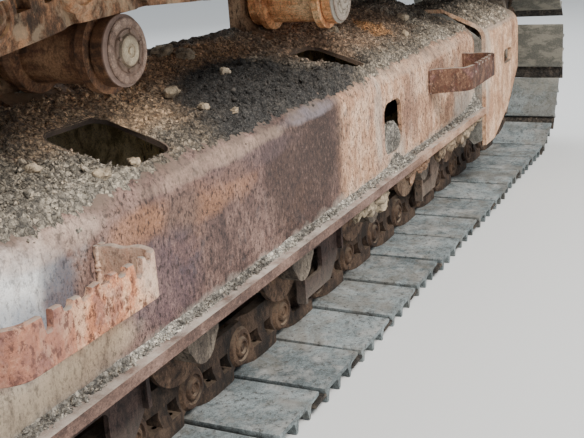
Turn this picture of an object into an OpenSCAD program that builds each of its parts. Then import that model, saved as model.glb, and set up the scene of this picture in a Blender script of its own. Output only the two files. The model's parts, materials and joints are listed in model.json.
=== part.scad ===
// Track unit of a crawler excavator: the side frame with its idler, sprocket drive,
// rollers, chain and shoes. X runs towards the idler, -Y is the outboard side, Z is up.

/* [Track] */
// Pin to pin length of one link
pitch = 190; // [180:1:205]
// Idler axle to sprocket axle
wheelbase = 3870; // [3500:5:4200]
// Width of a shoe
shoe_w = 600; // [500:10:800]
// Thickness of the shoe plate
shoe_t = 10; // [8:1:14]
// Height of a grouser bar
grouser_h = 26; // [15:1:40]
// Shoe seat to rail face of a link
link_h = 105; // [98:1:115]
// Shoe seat to pin axis
pin_h = 52; // [46:1:58]
// Inner face of a link to the chain's middle
link_in = 81; // [81:1:83]
// Rail width of a link
rail_w = 25; // [22:1:28]
// Bushing radius
bushing_r = 29; // [26:1:31]
// Pin place on the lower run, measured from mid length
pin_phase = 17; // [0:1:180]
// Slack of the chain between the carrier rollers
sag = 14; // [4:1:30]

/* [Wheels] */
// Teeth of the sprocket, two for each link in mesh
teeth = 21; // [19:2:25]
// Idler radius at the rail
idler_r = 235; // [225:1:250]
// Height by which idler and sprocket clear the straight lower run
wheel_raise = 3; // [1:1:20]
// Track roller radius at the rail
roller_r = 78; // [72:1:84]
// Height of a track roller's outer flange over its tread
roller_lip = 15; // [10:1:16]
// Sprocket axle to the rearmost track roller
rear_roller = 706; // [680:1:730]
// Idler axle to the foremost track roller
front_roller = 686; // [660:1:710]
// Carrier roller radius at the rail
carrier_r = 57; // [50:1:62]
// Radius of the carrier roller's ridges
carrier_ridge_r = 68; // [63:1:72]
// Distance between the two carrier rollers
carrier_gap = 880; // [700:10:1200]
// Height of the carrier roller axis over the shoe seats of the lower run
carrier_h = 685; // [670:1:720]
// Running gap between a rail and a wheel
running_gap = 0.3; // [0.2:0.1:1]

/* [Frame] */
// Plate of the deck and of the side walls
wall_t = 10; // [8:1:14]
// Thickness of the base plate
base_t = 20; // [16:1:26]
// Underside of the base plate over the shoe seats of the lower run
base_h = 245; // [240:1:255]
// Outboard face of the side wall to the chain's middle
side_y = 207; // [200:1:214]
// Ledge of the base plate outside the side wall
ledge = 37; // [25:1:45]
// Inboard face of the inner wall to the chain's middle
inner_y = 160; // [150:1:175]
// Outer radius of the bend from side wall to deck
bend_r = 55; // [35:1:70]
// Height of the corner where deck and side wall would meet, over the shoe seats
corner_h = 509; // [495:1:515]
// Slope of the deck
deck_slope = 18.3; // [15:0.1:19]
// Sprocket axle to the rear end of the frame box
drive_gap = 465; // [440:5:480]
// Idler axle to the front end of the frame box
idler_gap = 660; // [640:5:680]
// Cleaning hole in the deck, length along the frame
hole_l = 160; // [120:2:200]
// Cleaning hole, width down the slope
hole_w = 158; // [120:2:165]
// Corner radius of the cleaning hole
hole_r = 32; // [15:1:50]
// Distance of the cleaning hole from the roller above it, along the frame
hole_dx = -45; // [-80:5:40]
// Grease access opening, middle from mid length
access_x = 500; // [400:10:700]
// Grease access opening, length
access_l = 125; // [90:1:160]
// Grease access opening, height
access_h = 130; // [90:1:140]

/* [Idler guide] */
// Length of the idler guide box
guide_l = 452; // [420:2:470]
// Plate of the idler guide box
guide_t = 12; // [10:1:16]
// Height of the guide's wall over the shoe seats before it bends
guide_bend_h = 478; // [470:1:490]
// Height of the guide's roof over the shoe seats
guide_roof_h = 576; // [570:1:580]

/* [Steps] */
// Length of the toothed bar
step_l = 280; // [220:5:320]
// Projection of the step from the side wall
step_out = 100; // [80:1:130]
// Height of the step bar
step_h = 66; // [50:1:80]
// Thickness of the step bar
step_t = 10; // [8:1:12]
// Underside of the step over the shoe seats
step_z = 392; // [370:1:400]
// Middle of the toothed bar of the rear step
step_rear_x = -838; // [-900:1:-800]
// Middle of the toothed bar of the front step
step_front_x = 1004; // [900:1:1050]

/* [Leg joints] */
// Distance of each leg joint from mid length
leg_x = 700; // [600:10:800]
// Length of the leg joint's seat along the frame
leg_l = 360; // [320:5:420]
// Height of the leg joint's seat
leg_h = 270; // [240:5:280]
// Face of the seat to the chain's middle
leg_y = 335; // [320:1:360]
// Thickness of the seat plate
leg_t = 25; // [20:1:30]
// Edge of the seat to a bolt hole's centre
leg_edge = 30; // [25:1:40]
// Bolt hole diameter
leg_hole_d = 26; // [20:1:30]

/* [Hidden] */
seat_z = shoe_t + grouser_h;
low_pin_z = seat_z + pin_h;
rail_z = seat_z + link_h;
rail_v = link_h - pin_h;
mid_x = -10;
sprocket_x = mid_x - wheelbase / 2;
idler_x = mid_x + wheelbase / 2;
sprocket_pin_r = pitch / 2 / sin(360 / teeth);
idler_pin_r = norm([idler_r + running_gap + rail_v, pitch / 2]);
sprocket_z = low_pin_z + wheel_raise + sprocket_pin_r;
idler_z = low_pin_z + wheel_raise + idler_pin_r;
roller_z = rail_z + running_gap + roller_r;
carrier_z = seat_z + carrier_h;
carrier_pin_z = carrier_z + carrier_r + running_gap + rail_v;
// A straight link spans the bend in the pin path over a carrier roller, so the path is lifted there
path_lift = [9.5, 4.1];
base_z = seat_z + base_h;
floor_z = base_z + base_t;
flange_y = side_y + ledge;
base_in_y = inner_y + 30;
strip_y = link_in + rail_w + 24;
corner_z = seat_z + corner_h;
bend_z = corner_z - bend_r * tan((90 - deck_slope) / 2);
deck_inner_y = inner_y - wall_t;
axle_r = 32;
roller_n = 7;
roller_gap = (wheelbase - rear_roller - front_roller) / (roller_n - 1);
frame_rear = -sprocket_x - drive_gap;
frame_front = idler_x - idler_gap;

function roller_x(k) = sprocket_x + rear_roller + k * roller_gap;
function carrier_x(k) = (k - 0.5) * carrier_gap - 10;
function deck_z(y) = corner_z + (y + side_y) * tan(deck_slope);
function on_circle(c, r, a) = [c.x + r * cos(a), c.y + r * sin(a)];
function arc(c, r, a0, a1, n) = [for (i = [0:n]) on_circle(c, r, a0 + (a1 - a0) * i / n)];

// Arc that rounds the corner b of the outline a, b, c
function round_corner(a, b, c, r, n) =
    let (
        u = (a - b) / norm(a - b),
        w = (c - b) / norm(c - b),
        half = acos(u * w) / 2,
        m = b + (u + w) / norm(u + w) * r / sin(half),
        p = b + u * r / tan(half) - m,
        q = b + w * r / tan(half) - m,
        a0 = atan2(p.y, p.x),
        turn = atan2(p.x * q.y - p.y * q.x, p * q)
    )
    arc(m, r, a0, a0 + turn, n);

// Outline with every corner rounded, each row being x, y and radius
function rounded(rows, n = 4) = [
    for (i = [0:len(rows) - 1])
        let (
            a = rows[(i + len(rows) - 1) % len(rows)],
            b = rows[i],
            c = rows[(i + 1) % len(rows)]
        )
        each b[2] > 0
            ? round_corner([a.x, a.y], [b.x, b.y], [c.x, c.y], b[2], n)
            : [[b.x, b.y]]
];

// Stations round which the pins run: x, z, pin radius and the sag after it
stations = [
    [sprocket_x, sprocket_z, sprocket_pin_r, 0],
    [roller_x(0), low_pin_z, 0, 0],
    [roller_x(roller_n - 1), low_pin_z, 0, 0],
    [idler_x, idler_z, idler_pin_r, sag],
    [carrier_x(1), carrier_pin_z + path_lift[1], 0, sag],
    [carrier_x(0), carrier_pin_z + path_lift[0], 0, 2 * sag]
];
station_n = len(stations);
function at(k) = stations[(k + station_n) % station_n];
function heading(k) =
    let (a = at(k), b = at(k + 1), d = [b.x - a.x, b.y - a.y])
    atan2(d.y, d.x) - asin((b.z - a.z) / norm(d));
function leave(k) = on_circle([at(k).x, at(k).y], at(k).z, heading(k) - 90);
function arrive(k) = on_circle([at(k).x, at(k).y], at(k).z, heading(k - 1) - 90);
function wrap(a) = a - 360 * floor(a / 360);
function span_length(k) =
    let (d = norm(arrive(k + 1) - leave(k)))
    d * (1 + 8 / 3 * pow(at(k)[3] / d, 2));
function arc_length(k) =
    at(k).z > 0
        ? wrap(heading(k) - heading(k - 1)) * pitch / (2 * asin(pitch / 2 / at(k).z))
        : 0;
spans = [for (k = [0:station_n - 1]) span_length(k)];
arcs = [for (k = [0:station_n - 1]) arc_length(k + 1)];
leaves = [for (k = [0:station_n - 1]) leave(k)];
arrivals = [for (k = [0:station_n - 1]) arrive(k + 1)];
headings = [for (k = [0:station_n - 1]) heading(k)];
function total(list, i = 0) = i < len(list) ? list[i] + total(list, i + 1) : 0;
loop_length = total(spans) + total(arcs);
link_n = round(loop_length / pitch);
link_step = loop_length / link_n;

// Point of the pin path at the distance s from where it leaves the sprocket
function pin_at(s, k = 0) =
    s <= spans[k]
        ? let (t = s / spans[k])
          leaves[k] + (arrivals[k] - leaves[k]) * t - [0, 4 * stations[k][3] * t * (1 - t)]
        : s <= spans[k] + arcs[k]
            ? let (c = at(k + 1), turn = (s - spans[k]) / arcs[k] * wrap(headings[(k + 1) % station_n] - headings[k]))
              on_circle([c.x, c.y], c.z, headings[k] - 90 + turn)
            : pin_at(s - spans[k] - arcs[k], k + 1);
function wrap_to(a, step) = a - step * floor(a / step);
first_pin = spans[0] + wrap_to(pin_phase - roller_x(0), pitch);
pins = [for (i = [0:link_n]) pin_at(wrap_to(first_pin + i * link_step, loop_length))];
// The last pin of the loop lies on the sprocket and sets how it is turned
wheel_pin = pins[floor((loop_length - first_pin) / link_step)];
sprocket_turn = atan2(wheel_pin.y - sprocket_z, wheel_pin.x - sprocket_x);
function link_angle(i) = atan2(pins[i + 1].y - pins[i].y, pins[i + 1].x - pins[i].x);

// Shoe outline along the chain: one plate with three grouser bars
shoe_gap = 4;
shoe_back = -26;
shoe_points = [
    [shoe_back, -pin_h],
    [shoe_back + pitch - shoe_gap, -pin_h],
    [shoe_back + pitch, -pin_h - shoe_t - grouser_h],
    [shoe_back + pitch - 14, -pin_h - shoe_t],
    [pitch / 2 - 17, -pin_h - shoe_t],
    [pitch / 2 - 25, -pin_h - shoe_t - grouser_h],
    [pitch / 2 - 33, -pin_h - shoe_t],
    [shoe_back + 16, -pin_h - shoe_t],
    [shoe_back + 4, -pin_h - shoe_t - grouser_h]
];
function along_link(i, q) =
    let (a = link_angle(i))
    [pins[i].x + q.x * cos(a) - q.y * sin(a), pins[i].y + q.x * sin(a) + q.y * cos(a)];
shoe_xs = [for (i = [0:link_n - 1]) for (q = shoe_points) along_link(i, q).x];
centre_x = (min(shoe_xs) + max(shoe_xs)) / 2;
centre_y = (leg_y - side_y - step_out) / 2;

rust = [0.52, 0.38, 0.34];
peach_rust = [0.74, 0.55, 0.44];
dark_rust = [0.33, 0.22, 0.16];
step_rust = [0.70, 0.42, 0.32];
mud = [0.50, 0.42, 0.32];
shoe_grey = [0.50, 0.51, 0.49];
steel_grey = [0.42, 0.38, 0.36];

module place() { translate([-centre_x, -centre_y, 0]) children(); }

// Extrudes a side view, drawn as x and z, from y0 to y1
module along_y(y0, y1) {
    translate([0, y1, 0]) rotate([90, 0, 0]) linear_extrude(y1 - y0) children();
}

// Extrudes a cross section, drawn as y and z, from x0 to x1
module along_x(x0, x1) {
    translate([x0, 0, 0]) rotate([90, 0, 90]) linear_extrude(x1 - x0) children();
}

// Turns a profile, drawn as radius and y, about an axle along Y
module revolved(x, z) {
    translate([x, 0, z]) rotate([-90, 0, 0]) rotate_extrude($fn = 96) children();
}

module axle(x, z, r, y0, y1) {
    translate([x, y0, z]) rotate([-90, 0, 0]) cylinder(h = y1 - y0, r = r, $fn = 48);
}

// Bent plate: wall up to the bend, then a slope that ends at y_end
module bent_section(y, z0, zb, slope, r, t, y_end) {
    c = [y + r, zb];
    top = 90 + slope;
    start = on_circle(c, r, top);
    end_z = start.y + (y_end - start.x) * tan(slope);
    polygon(concat(
        [[y, z0]],
        arc(c, r, 180, top, 6),
        [[y_end, end_z], [y_end, end_z - t / cos(slope)]],
        arc(c, r - t, top, 180, 6),
        [[y + t, z0]]
    ));
}

module deck_hole(k) {
    y_mid = -side_y + 117;
    translate([carrier_x(k) + hole_dx, y_mid, deck_z(y_mid)])
        rotate([deck_slope, 0, 0])
            linear_extrude(80, center = true)
                polygon(rounded([
                    [-hole_l / 2, -hole_w / 2, hole_r],
                    [hole_l / 2 - 6, -hole_w / 2, hole_r],
                    [hole_l / 2 + 6, hole_w / 2, hole_r],
                    [-hole_l / 2, hole_w / 2, hole_r]
                ]));
}

module frame_shell() {
    color(rust) place() difference() {
        along_x(-frame_rear, frame_front)
            bent_section(-side_y, floor_z, bend_z, deck_slope, bend_r, wall_t, deck_inner_y);
        deck_hole(0);
        deck_hole(1);
        along_y(-side_y - wall_t, -side_y + 2 * wall_t)
            polygon(rounded([
                [access_x - access_l / 2, floor_z + 35, 30],
                [access_x + access_l / 2, floor_z + 35, 30],
                [access_x + access_l / 2, floor_z + 35 + access_h, 30],
                [access_x - access_l / 2, floor_z + 35 + access_h, 30]
            ]));
    }
}

module frame_inner_wall() {
    color(rust) place() along_y(deck_inner_y, inner_y)
        polygon([
            [-frame_rear, floor_z],
            [frame_front, floor_z],
            [frame_front, deck_z(deck_inner_y)],
            [-frame_rear, deck_z(deck_inner_y)]
        ]);
}

// Base plate in two strips, with the track rollers between them
module frame_base() {
    color(rust) place() for (y = [[-flange_y, -strip_y], [strip_y, base_in_y]])
        translate([-frame_rear, y[0], base_z])
            cube([frame_rear + frame_front, y[1] - y[0], base_t]);
}

// Cross walls inside the frame box, with their underside on the base plate
rib_t = 12;
rib_xs = [-1100, -60, 1000];
recoil_y = -20;
recoil_z = idler_z;
spring_r = 80;
rod_r = 34;
module frame_ribs() {
    color(dark_rust) place() for (x = rib_xs)
        difference() {
            along_x(x - rib_t / 2, x + rib_t / 2)
                polygon([
                    [-side_y + wall_t, floor_z],
                    [deck_inner_y, floor_z],
                    [deck_inner_y, deck_z(deck_inner_y) - 2 * wall_t],
                    [-side_y + bend_r + 20, deck_z(-side_y + bend_r + 20) - 2 * wall_t],
                    [-side_y + wall_t, bend_z]
                ]);
            if (x > 0)
                translate([x - rib_t, recoil_y, recoil_z]) rotate([0, 90, 0])
                    cylinder(h = 2 * rib_t, r = rod_r + running_gap, $fn = 48);
        }
}

module frame_rear_wall() {
    color(rust) place() along_x(-frame_rear - guide_t, -frame_rear)
        polygon([
            [-side_y, base_z],
            [inner_y, base_z],
            [inner_y, deck_z(deck_inner_y)],
            [-side_y + bend_r, deck_z(-side_y + bend_r) - 2],
            [-side_y + 16, bend_z + 38],
            [-side_y, bend_z]
        ]);
}

// Idler guide: a wider bent box ahead of the frame, its lower front corner cut away
guide_z = seat_z + guide_bend_h;
guide_front = frame_front + guide_l;
guide_foot_z = seat_z + 142;
guide_outline = rounded([
    [frame_front, guide_foot_z, 0],
    [frame_front + 112, guide_foot_z, 20],
    [frame_front + 300, guide_foot_z + 70, 20],
    [guide_front, guide_foot_z + 188, 10],
    [guide_front, seat_z + 540, 60],
    [guide_front - 150, seat_z + 650, 0],
    [frame_front, seat_z + 650, 0]
]);
guide_roof_z = seat_z + guide_roof_h;
guide_slope = 24;

module guide_section(y, y_end) {
    r = bend_r;
    t = guide_t;
    c = [y + r, guide_z];
    top = 90 + guide_slope;
    start = on_circle(c, r, top);
    ridge_y = start.x + (guide_roof_z - start.y) / tan(guide_slope);
    drop = t * tan(guide_slope / 2);
    polygon(concat(
        [[y, guide_foot_z - 20]],
        arc(c, r, 180, top, 6),
        [[ridge_y, guide_roof_z], [y_end, guide_roof_z], [y_end, guide_roof_z - t],
         [ridge_y + drop, guide_roof_z - t]],
        arc(c, r - t, top, 180, 6),
        [[y + t, guide_foot_z - 20]]
    ));
}

module guide_wall() {
    wall_foot_z = roller_z + roller_r + roller_lip + 10;
    color(steel_grey) place() difference() {
        along_x(frame_front, frame_front + guide_t)
            polygon([
                [-flange_y + guide_t + running_gap, guide_foot_z + 15],
                [-flange_y + 40, guide_foot_z],
                [-flange_y + 68, guide_foot_z + 30],
                [-flange_y + 68, wall_foot_z],
                [base_in_y - guide_t - running_gap, wall_foot_z],
                [base_in_y - guide_t - running_gap, guide_z],
                [base_in_y - 130, guide_roof_z - guide_t - running_gap],
                [-flange_y + 130, guide_roof_z - guide_t - running_gap],
                [-flange_y + guide_t + running_gap, guide_z]
            ]);
        translate([frame_front - 1, recoil_y, recoil_z]) rotate([0, 90, 0])
            cylinder(h = guide_t + 2, r = rod_r + running_gap, $fn = 48);
    }
}

module idler_guide() {
    color(peach_rust) place() difference() {
        union() {
            intersection() {
                along_x(frame_front, guide_front + 10) guide_section(-flange_y, 0);
                along_y(-flange_y - 10, 10) polygon(guide_outline);
            }
            slide(-flange_y + guide_t - 1, -yoke_in);
        }
        along_y(-flange_y - 1, -flange_y + guide_t + 1)
            polygon(rounded([
                [frame_front + 245, seat_z + 365, 12],
                [frame_front + 347, seat_z + 365, 12],
                [frame_front + 347, seat_z + 413, 12],
                [frame_front + 245, seat_z + 413, 12]
            ]));
    }
}

module idler_guide_inner() {
    color(peach_rust) place() union() {
        intersection() {
            mirror([0, 1, 0]) along_x(frame_front, guide_front + 10) guide_section(-base_in_y, 0);
            along_y(-10, base_in_y + 10) polygon(guide_outline);
        }
        slide(yoke_in, base_in_y - guide_t + 1);
    }
}

idler_lip = 17;
module idler_wheel() {
    rim = link_in + rail_w + 4;
    lip = link_in - 2;
    color(steel_grey) place() revolved(idler_x, idler_z) polygon([
        [axle_r + running_gap, -100], [78, -100], [92, -42], [idler_r - 37, -34],
        [idler_r - 21, -rim], [idler_r, -rim], [idler_r, -lip], [idler_r + idler_lip, -lip + 4],
        [idler_r + idler_lip, lip - 4], [idler_r, lip], [idler_r, rim], [idler_r - 21, rim],
        [idler_r - 37, 34], [92, 42], [78, 100], [axle_r + running_gap, 100]
    ]);
}

yoke_in = 116;
yoke_t = 32;
module idler_axle() {
    color(steel_grey) place() axle(idler_x, idler_z, axle_r, -yoke_in - yoke_t - 12, yoke_in + yoke_t + 12);
}

// Fork that carries the idler axle and takes the recoil rod
yoke_back = idler_x - idler_r - 145;
yoke_h = 90;
module idler_yoke() {
    arm = rounded([
        [yoke_back, idler_z - yoke_h / 2, 0],
        [idler_x - 90, idler_z - yoke_h / 2, 20],
        [idler_x - 75, idler_z - 80, 20],
        [idler_x + 75, idler_z - 80, 20],
        [idler_x + 75, idler_z + 80, 20],
        [idler_x - 75, idler_z + 80, 20],
        [idler_x - 90, idler_z + yoke_h / 2, 20],
        [yoke_back, idler_z + yoke_h / 2, 0]
    ]);
    color(dark_rust) place() difference() {
        union() {
            along_y(-yoke_in - yoke_t, -yoke_in) polygon(arm);
            along_y(yoke_in, yoke_in + yoke_t) polygon(arm);
            translate([yoke_back, -yoke_in - 1, idler_z - yoke_h / 2])
                cube([50, 2 * yoke_in + 2, yoke_h]);
        }
        axle(idler_x, idler_z, axle_r + running_gap, -yoke_in - yoke_t - 1, yoke_in + yoke_t + 1);
    }
}

// Bar that the yoke's arm slides on, from y0 to y1
module slide(y0, y1) {
    translate([frame_front + guide_t, y0, idler_z - yoke_h / 2 - running_gap - guide_t])
        cube([guide_l - guide_t - 10, y1 - y0, guide_t]);
}

module recoil_rod() {
    color(steel_grey) place() translate([rib_xs[2] - 60, recoil_y, recoil_z]) rotate([0, 90, 0])
        cylinder(h = yoke_back - rib_xs[2] + 60, r = rod_r, $fn = 48);
}

spring_front = 380;
module recoil_cylinder() {
    color(dark_rust) place() translate([spring_front, recoil_y, recoil_z]) rotate([0, 90, 0])
        cylinder(h = rib_xs[2] - 60 - spring_front, r = spring_r - 22, $fn = 48);
}

module recoil_spring() {
    color(dark_rust) place() translate([rib_xs[1] + rib_t / 2, recoil_y, recoil_z]) rotate([0, 90, 0])
        cylinder(h = spring_front - rib_xs[1] - rib_t / 2, r = spring_r, $fn = 48);
}

// Drive end: the bracket plate behind the frame box carries the drive's spindle
bracket_y = 104;
bracket_t = 30;
spindle_r = 150;
module drive_bracket() {
    color(rust) place() difference() {
        along_y(bracket_y, bracket_y + bracket_t) union() {
            translate([sprocket_x, sprocket_z]) circle(r = 215, $fn = 96);
            polygon([
                [-frame_rear - guide_t, base_z],
                [-frame_rear - guide_t, deck_z(bracket_y)],
                [sprocket_x + 40, sprocket_z + 211],
                [sprocket_x + 40, sprocket_z - 211]
            ]);
        }
        axle(sprocket_x, sprocket_z, spindle_r + running_gap, bracket_y - 1, bracket_y + bracket_t + 1);
    }
}

hub_r = 178;
module final_drive() {
    color(dark_rust) place() revolved(sprocket_x, sprocket_z) polygon([
        [0, -186], [95, -186], [118, -178], [132, -150], [150, -140], [150, -76], [hub_r, -66],
        [hub_r, -tooth_w / 2 - 20], [215, -tooth_w / 2 - 20], [215, -tooth_w / 2],
        [sprocket_seat_r, -tooth_w / 2], [sprocket_seat_r, 60], [spindle_r + 40, 60],
        [spindle_r + 40, bracket_y],
        [spindle_r, bracket_y], [spindle_r, bracket_y + bracket_t + 20], [0, bracket_y + bracket_t + 20]
    ]);
}

// Toothed ring: each pocket follows a bushing of the chain
sprocket_seat_r = 180;
tooth_w = 56;
tooth_out = sprocket_pin_r + 16;
function tooth_points(i) =
    let (a = 360 / teeth * i, p = on_circle([0, 0], sprocket_pin_r, a), r = bushing_r + 2)
    concat(
        arc(p, r, a + 252, a + 108, 4),
        [
            on_circle([0, 0], tooth_out, a + 180 / teeth - 1.6),
            on_circle([0, 0], tooth_out, a + 180 / teeth + 1.6)
        ]
    );

module sprocket() {
    color(steel_grey) place() translate([sprocket_x, 0, sprocket_z]) difference() {
        along_y(-tooth_w / 2, tooth_w / 2)
            rotate(sprocket_turn) polygon([for (i = [0:teeth - 1]) each tooth_points(i)]);
        rotate([-90, 0, 0])
            cylinder(h = tooth_w + 2, r = sprocket_seat_r + running_gap, center = true, $fn = 96);
    }
}

module travel_motor() {
    color(dark_rust) place() revolved(sprocket_x, sprocket_z) polygon([
        [0, bracket_y + bracket_t + 20], [125, bracket_y + bracket_t + 20],
        [125, bracket_y + bracket_t + 90], [100, bracket_y + bracket_t + 105],
        [100, leg_y - 30], [85, leg_y - 15], [0, leg_y - 15]
    ]);
}

// Pedestal at the inboard edge of the deck, with a foot that runs down the slope
post_y = 116;
carrier_shaft_r = 30;
module carrier_bracket(k) {
    x = carrier_x(k);
    y_top = deck_inner_y;
    color(dark_rust) place() difference() {
        along_x(x - 78, x + 78) polygon([
            [20, deck_z(20)],
            [60, deck_z(60) + 8],
            [102, deck_z(102) + 13],
            [post_y, deck_z(post_y) + 36],
            [post_y, carrier_z + 52],
            [y_top, carrier_z + 52],
            [y_top, deck_z(y_top)]
        ]);
        axle(x, carrier_z, carrier_shaft_r + running_gap, post_y - 1, y_top + 1);
    }
}

module carrier_roller(k) {
    color(dark_rust) place() revolved(carrier_x(k), carrier_z) polygon([
        [0, -118], [24, -118], [26, -114], [carrier_r - 4, -114], [carrier_r, -110], [carrier_r, -86],
        [carrier_r - 6, -84], [carrier_r - 6, -82], [carrier_ridge_r, -80], [carrier_ridge_r, -64],
        [carrier_r - 5, -58], [carrier_r - 5, 58], [carrier_ridge_r, 64], [carrier_ridge_r, 80],
        [carrier_r, 84], [carrier_r, 108], [carrier_shaft_r, 112],
        [carrier_shaft_r, deck_inner_y + 8], [0, deck_inner_y + 8]
    ]);
}

// Track roller with its two flanges and the ends of its fixed shaft
block_in = 130;
block_t = 48;
module track_roller(k) {
    lip_r = roller_r + roller_lip;
    out = link_in + rail_w + 3;
    in = link_in - 3;
    color(dark_rust) place() revolved(roller_x(k), roller_z) polygon([
        [0, -block_in], [54, -block_in], [60, -block_in + 3], [74, -out - 18], [lip_r, -out - 14],
        [lip_r, -out - 3], [roller_r, -out], [roller_r, -in], [66, -in + 4], [66, in - 4],
        [roller_r, in], [roller_r, out], [lip_r, out + 3], [lip_r, out + 14], [74, out + 18],
        [60, block_in - 3], [54, block_in], [0, block_in]
    ]);
}

// End blocks that hold each roller shaft under the base plate
module roller_block(k) {
    polygon(concat(
        [[roller_x(k) - 52, base_z], [roller_x(k) - 52, roller_z]],
        arc([roller_x(k), roller_z - 4], 40, 200, 340, 6),
        [[roller_x(k) + 52, roller_z], [roller_x(k) + 52, base_z]]
    ));
}
module roller_blocks() {
    color(steel_grey) place() for (k = [0:roller_n - 1]) {
        along_y(-block_in - block_t, -block_in) roller_block(k);
        along_y(block_in, block_in + block_t) roller_block(k);
    }
}

// Chain guard ahead of track roller k: a web beside the links, a flange at each end and a window
guard_start = 62;
guard_end = 129;
guard_l = roller_gap - guard_start - guard_end;
guard_t = 10;
guard_out = 148;
guard_in = 126;
guard_z = seat_z + 55;
module track_guard(k) {
    x = roller_x(k) + guard_start + guard_l / 2;
    color(rust) place() for (side = [-1, 1]) mirrored(side) union() {
        difference() {
            along_y(-guard_in - guard_t, -guard_in) polygon([
                [x - guard_l / 2, base_z], [x - guard_l / 2, guard_z],
                [x + guard_l / 2 - 60, guard_z], [x + guard_l / 2, guard_z + 60], [x + guard_l / 2, base_z]
            ]);
            along_y(-guard_in - guard_t - 1, -guard_in + 1) polygon(rounded([
                [x - 80, guard_z + 40, 12], [x + 10, guard_z + 40, 12],
                [x + 10, guard_z + 100, 12], [x - 80, guard_z + 100, 12]
            ]));
        }
        translate([x - guard_l / 2, -guard_out, guard_z])
            cube([guard_t, guard_out - guard_in - guard_t + 1, base_z - guard_z]);
        translate([x + guard_l / 2 - guard_t, -guard_out, guard_z + 60])
            cube([guard_t, guard_out - guard_in - guard_t + 1, base_z - guard_z - 60]);
    }
}
module mirrored(side) { mirror([0, side > 0 ? 1 : 0, 0]) children(); }

// Step: a flat bar bent to a skewed U, with notches in its upper edge
notch_xs = [-54, -18, 18, 54];
deep_xs = [-90, 90];
module step(x) {
    z = seat_z + step_z;
    a = step_l / 2;
    out = -side_y - step_out;
    skew = 70;
    color(step_rust) place() difference() {
        translate([x, 0, z]) linear_extrude(step_h) polygon(concat(
            [[-a - skew, -side_y]],
            round_corner([-a - skew, -side_y], [-a, out], [a, out], 24, 4),
            round_corner([-a, out], [a, out], [a, -side_y], 24, 4),
            [[a, -side_y], [a - step_t, -side_y]],
            round_corner([a - step_t, -side_y], [a - step_t, out + step_t], [-a, out + step_t], 14, 4),
            round_corner([a, out + step_t], [-a + step_t * 0.7, out + step_t],
                [-a - skew + step_t * 1.2, -side_y], 14, 4),
            [[-a - skew + step_t * 1.2, -side_y]]
        ));
        for (dx = notch_xs)
            notch(x + dx, z + step_h, 11, 9);
        for (dx = deep_xs)
            notch(x + dx, z + step_h, 8, 26);
        notch(x + 113, z + step_h, 5, 12);
    }
}
module notch(x, z, half, deep) {
    along_y(-side_y - step_out - 1, -side_y - step_out + step_t + 1) polygon([
        [x - half, z + 1], [x - half * 0.6, z - deep], [x + half * 0.6, z - deep], [x + half, z + 1]
    ]);
}

// Inboard seat to which the lower carriage's leg is bolted, on a short box neck
leg_z = floor_z + 20;
module leg_joint(x) {
    neck = 60;
    plate = 14;
    color(rust) place() difference() {
        union() {
            along_y(inner_y, leg_y - leg_t + 1) difference() {
                translate([x - leg_l / 2 + neck, leg_z + 10]) square([leg_l - 2 * neck, leg_h - 20]);
                translate([x - leg_l / 2 + neck + plate, leg_z + 10 + plate])
                    square([leg_l - 2 * neck - 2 * plate, leg_h - 20 - 2 * plate]);
            }
            along_y(leg_y - leg_t, leg_y)
                translate([x - leg_l / 2, leg_z]) square([leg_l, leg_h]);
        }
        for (dx = [-1, 1]) for (dz = [-1, 1])
            axle(x + dx * (leg_l / 2 - leg_edge), leg_z + leg_h / 2 + dz * (leg_h / 2 - leg_edge),
                leg_hole_d / 2, leg_y - leg_t - 1, leg_y + 1);
    }
}

// One piece of the chain in its own place: local X runs along the link, local Z inwards
module at_link(i) {
    translate([pins[i].x, 0, pins[i].y]) rotate([0, -link_angle(i), 0]) children();
}

link_points = [
    [-17, -14], [-17, 14], [20, rail_v], [pitch - 20, rail_v],
    [pitch - 24, 8], [pitch - 24, -8], [142, -pin_h], [18, -pin_h]
];
module chain_links(side) {
    color(mud) place() for (i = [0:link_n - 1])
        at_link(i) mirrored(side) along_y(-link_in - rail_w, -link_in) polygon(link_points);
}

module chain_bushings() {
    color(mud) place() for (i = [0:link_n - 1])
        at_link(i) rotate([90, 0, 0])
            cylinder(h = 2 * (link_in - running_gap), r = bushing_r, center = true, $fn = 6);
}

module track_shoes() {
    color(shoe_grey) place() for (i = [0:link_n - 1])
        at_link(i) along_y(-shoe_w / 2, shoe_w / 2) polygon(shoe_points);
}

frame_shell();
frame_inner_wall();
frame_base();
frame_ribs();
frame_rear_wall();
guide_wall();
idler_guide();
idler_guide_inner();
idler_wheel();
idler_axle();
idler_yoke();
recoil_rod();
recoil_cylinder();
recoil_spring();
drive_bracket();
final_drive();
sprocket();
travel_motor();
carrier_bracket(0);  // carrier_bracket_rear
carrier_bracket(1);  // carrier_bracket_front
carrier_roller(0);  // carrier_roller_rear
carrier_roller(1);  // carrier_roller_front
track_roller(0);  // track_roller_1
track_roller(1);  // track_roller_2
track_roller(2);  // track_roller_3
track_roller(3);  // track_roller_4
track_roller(4);  // track_roller_5
track_roller(5);  // track_roller_6
track_roller(6);  // track_roller_7
roller_blocks();
track_guard(1);  // track_guard_rear
track_guard(3);  // track_guard_middle
track_guard(5);  // track_guard_front
step(step_rear_x);  // step_rear
step(step_front_x);  // step_front
leg_joint(-leg_x);  // leg_joint_rear
leg_joint(leg_x);  // leg_joint_front
chain_links(-1);  // chain_links_outboard
chain_links(1);  // chain_links_inboard
chain_bushings();
track_shoes();
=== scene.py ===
import bpy
import json
import math
import numpy as np
from mathutils import Matrix, Vector


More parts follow.
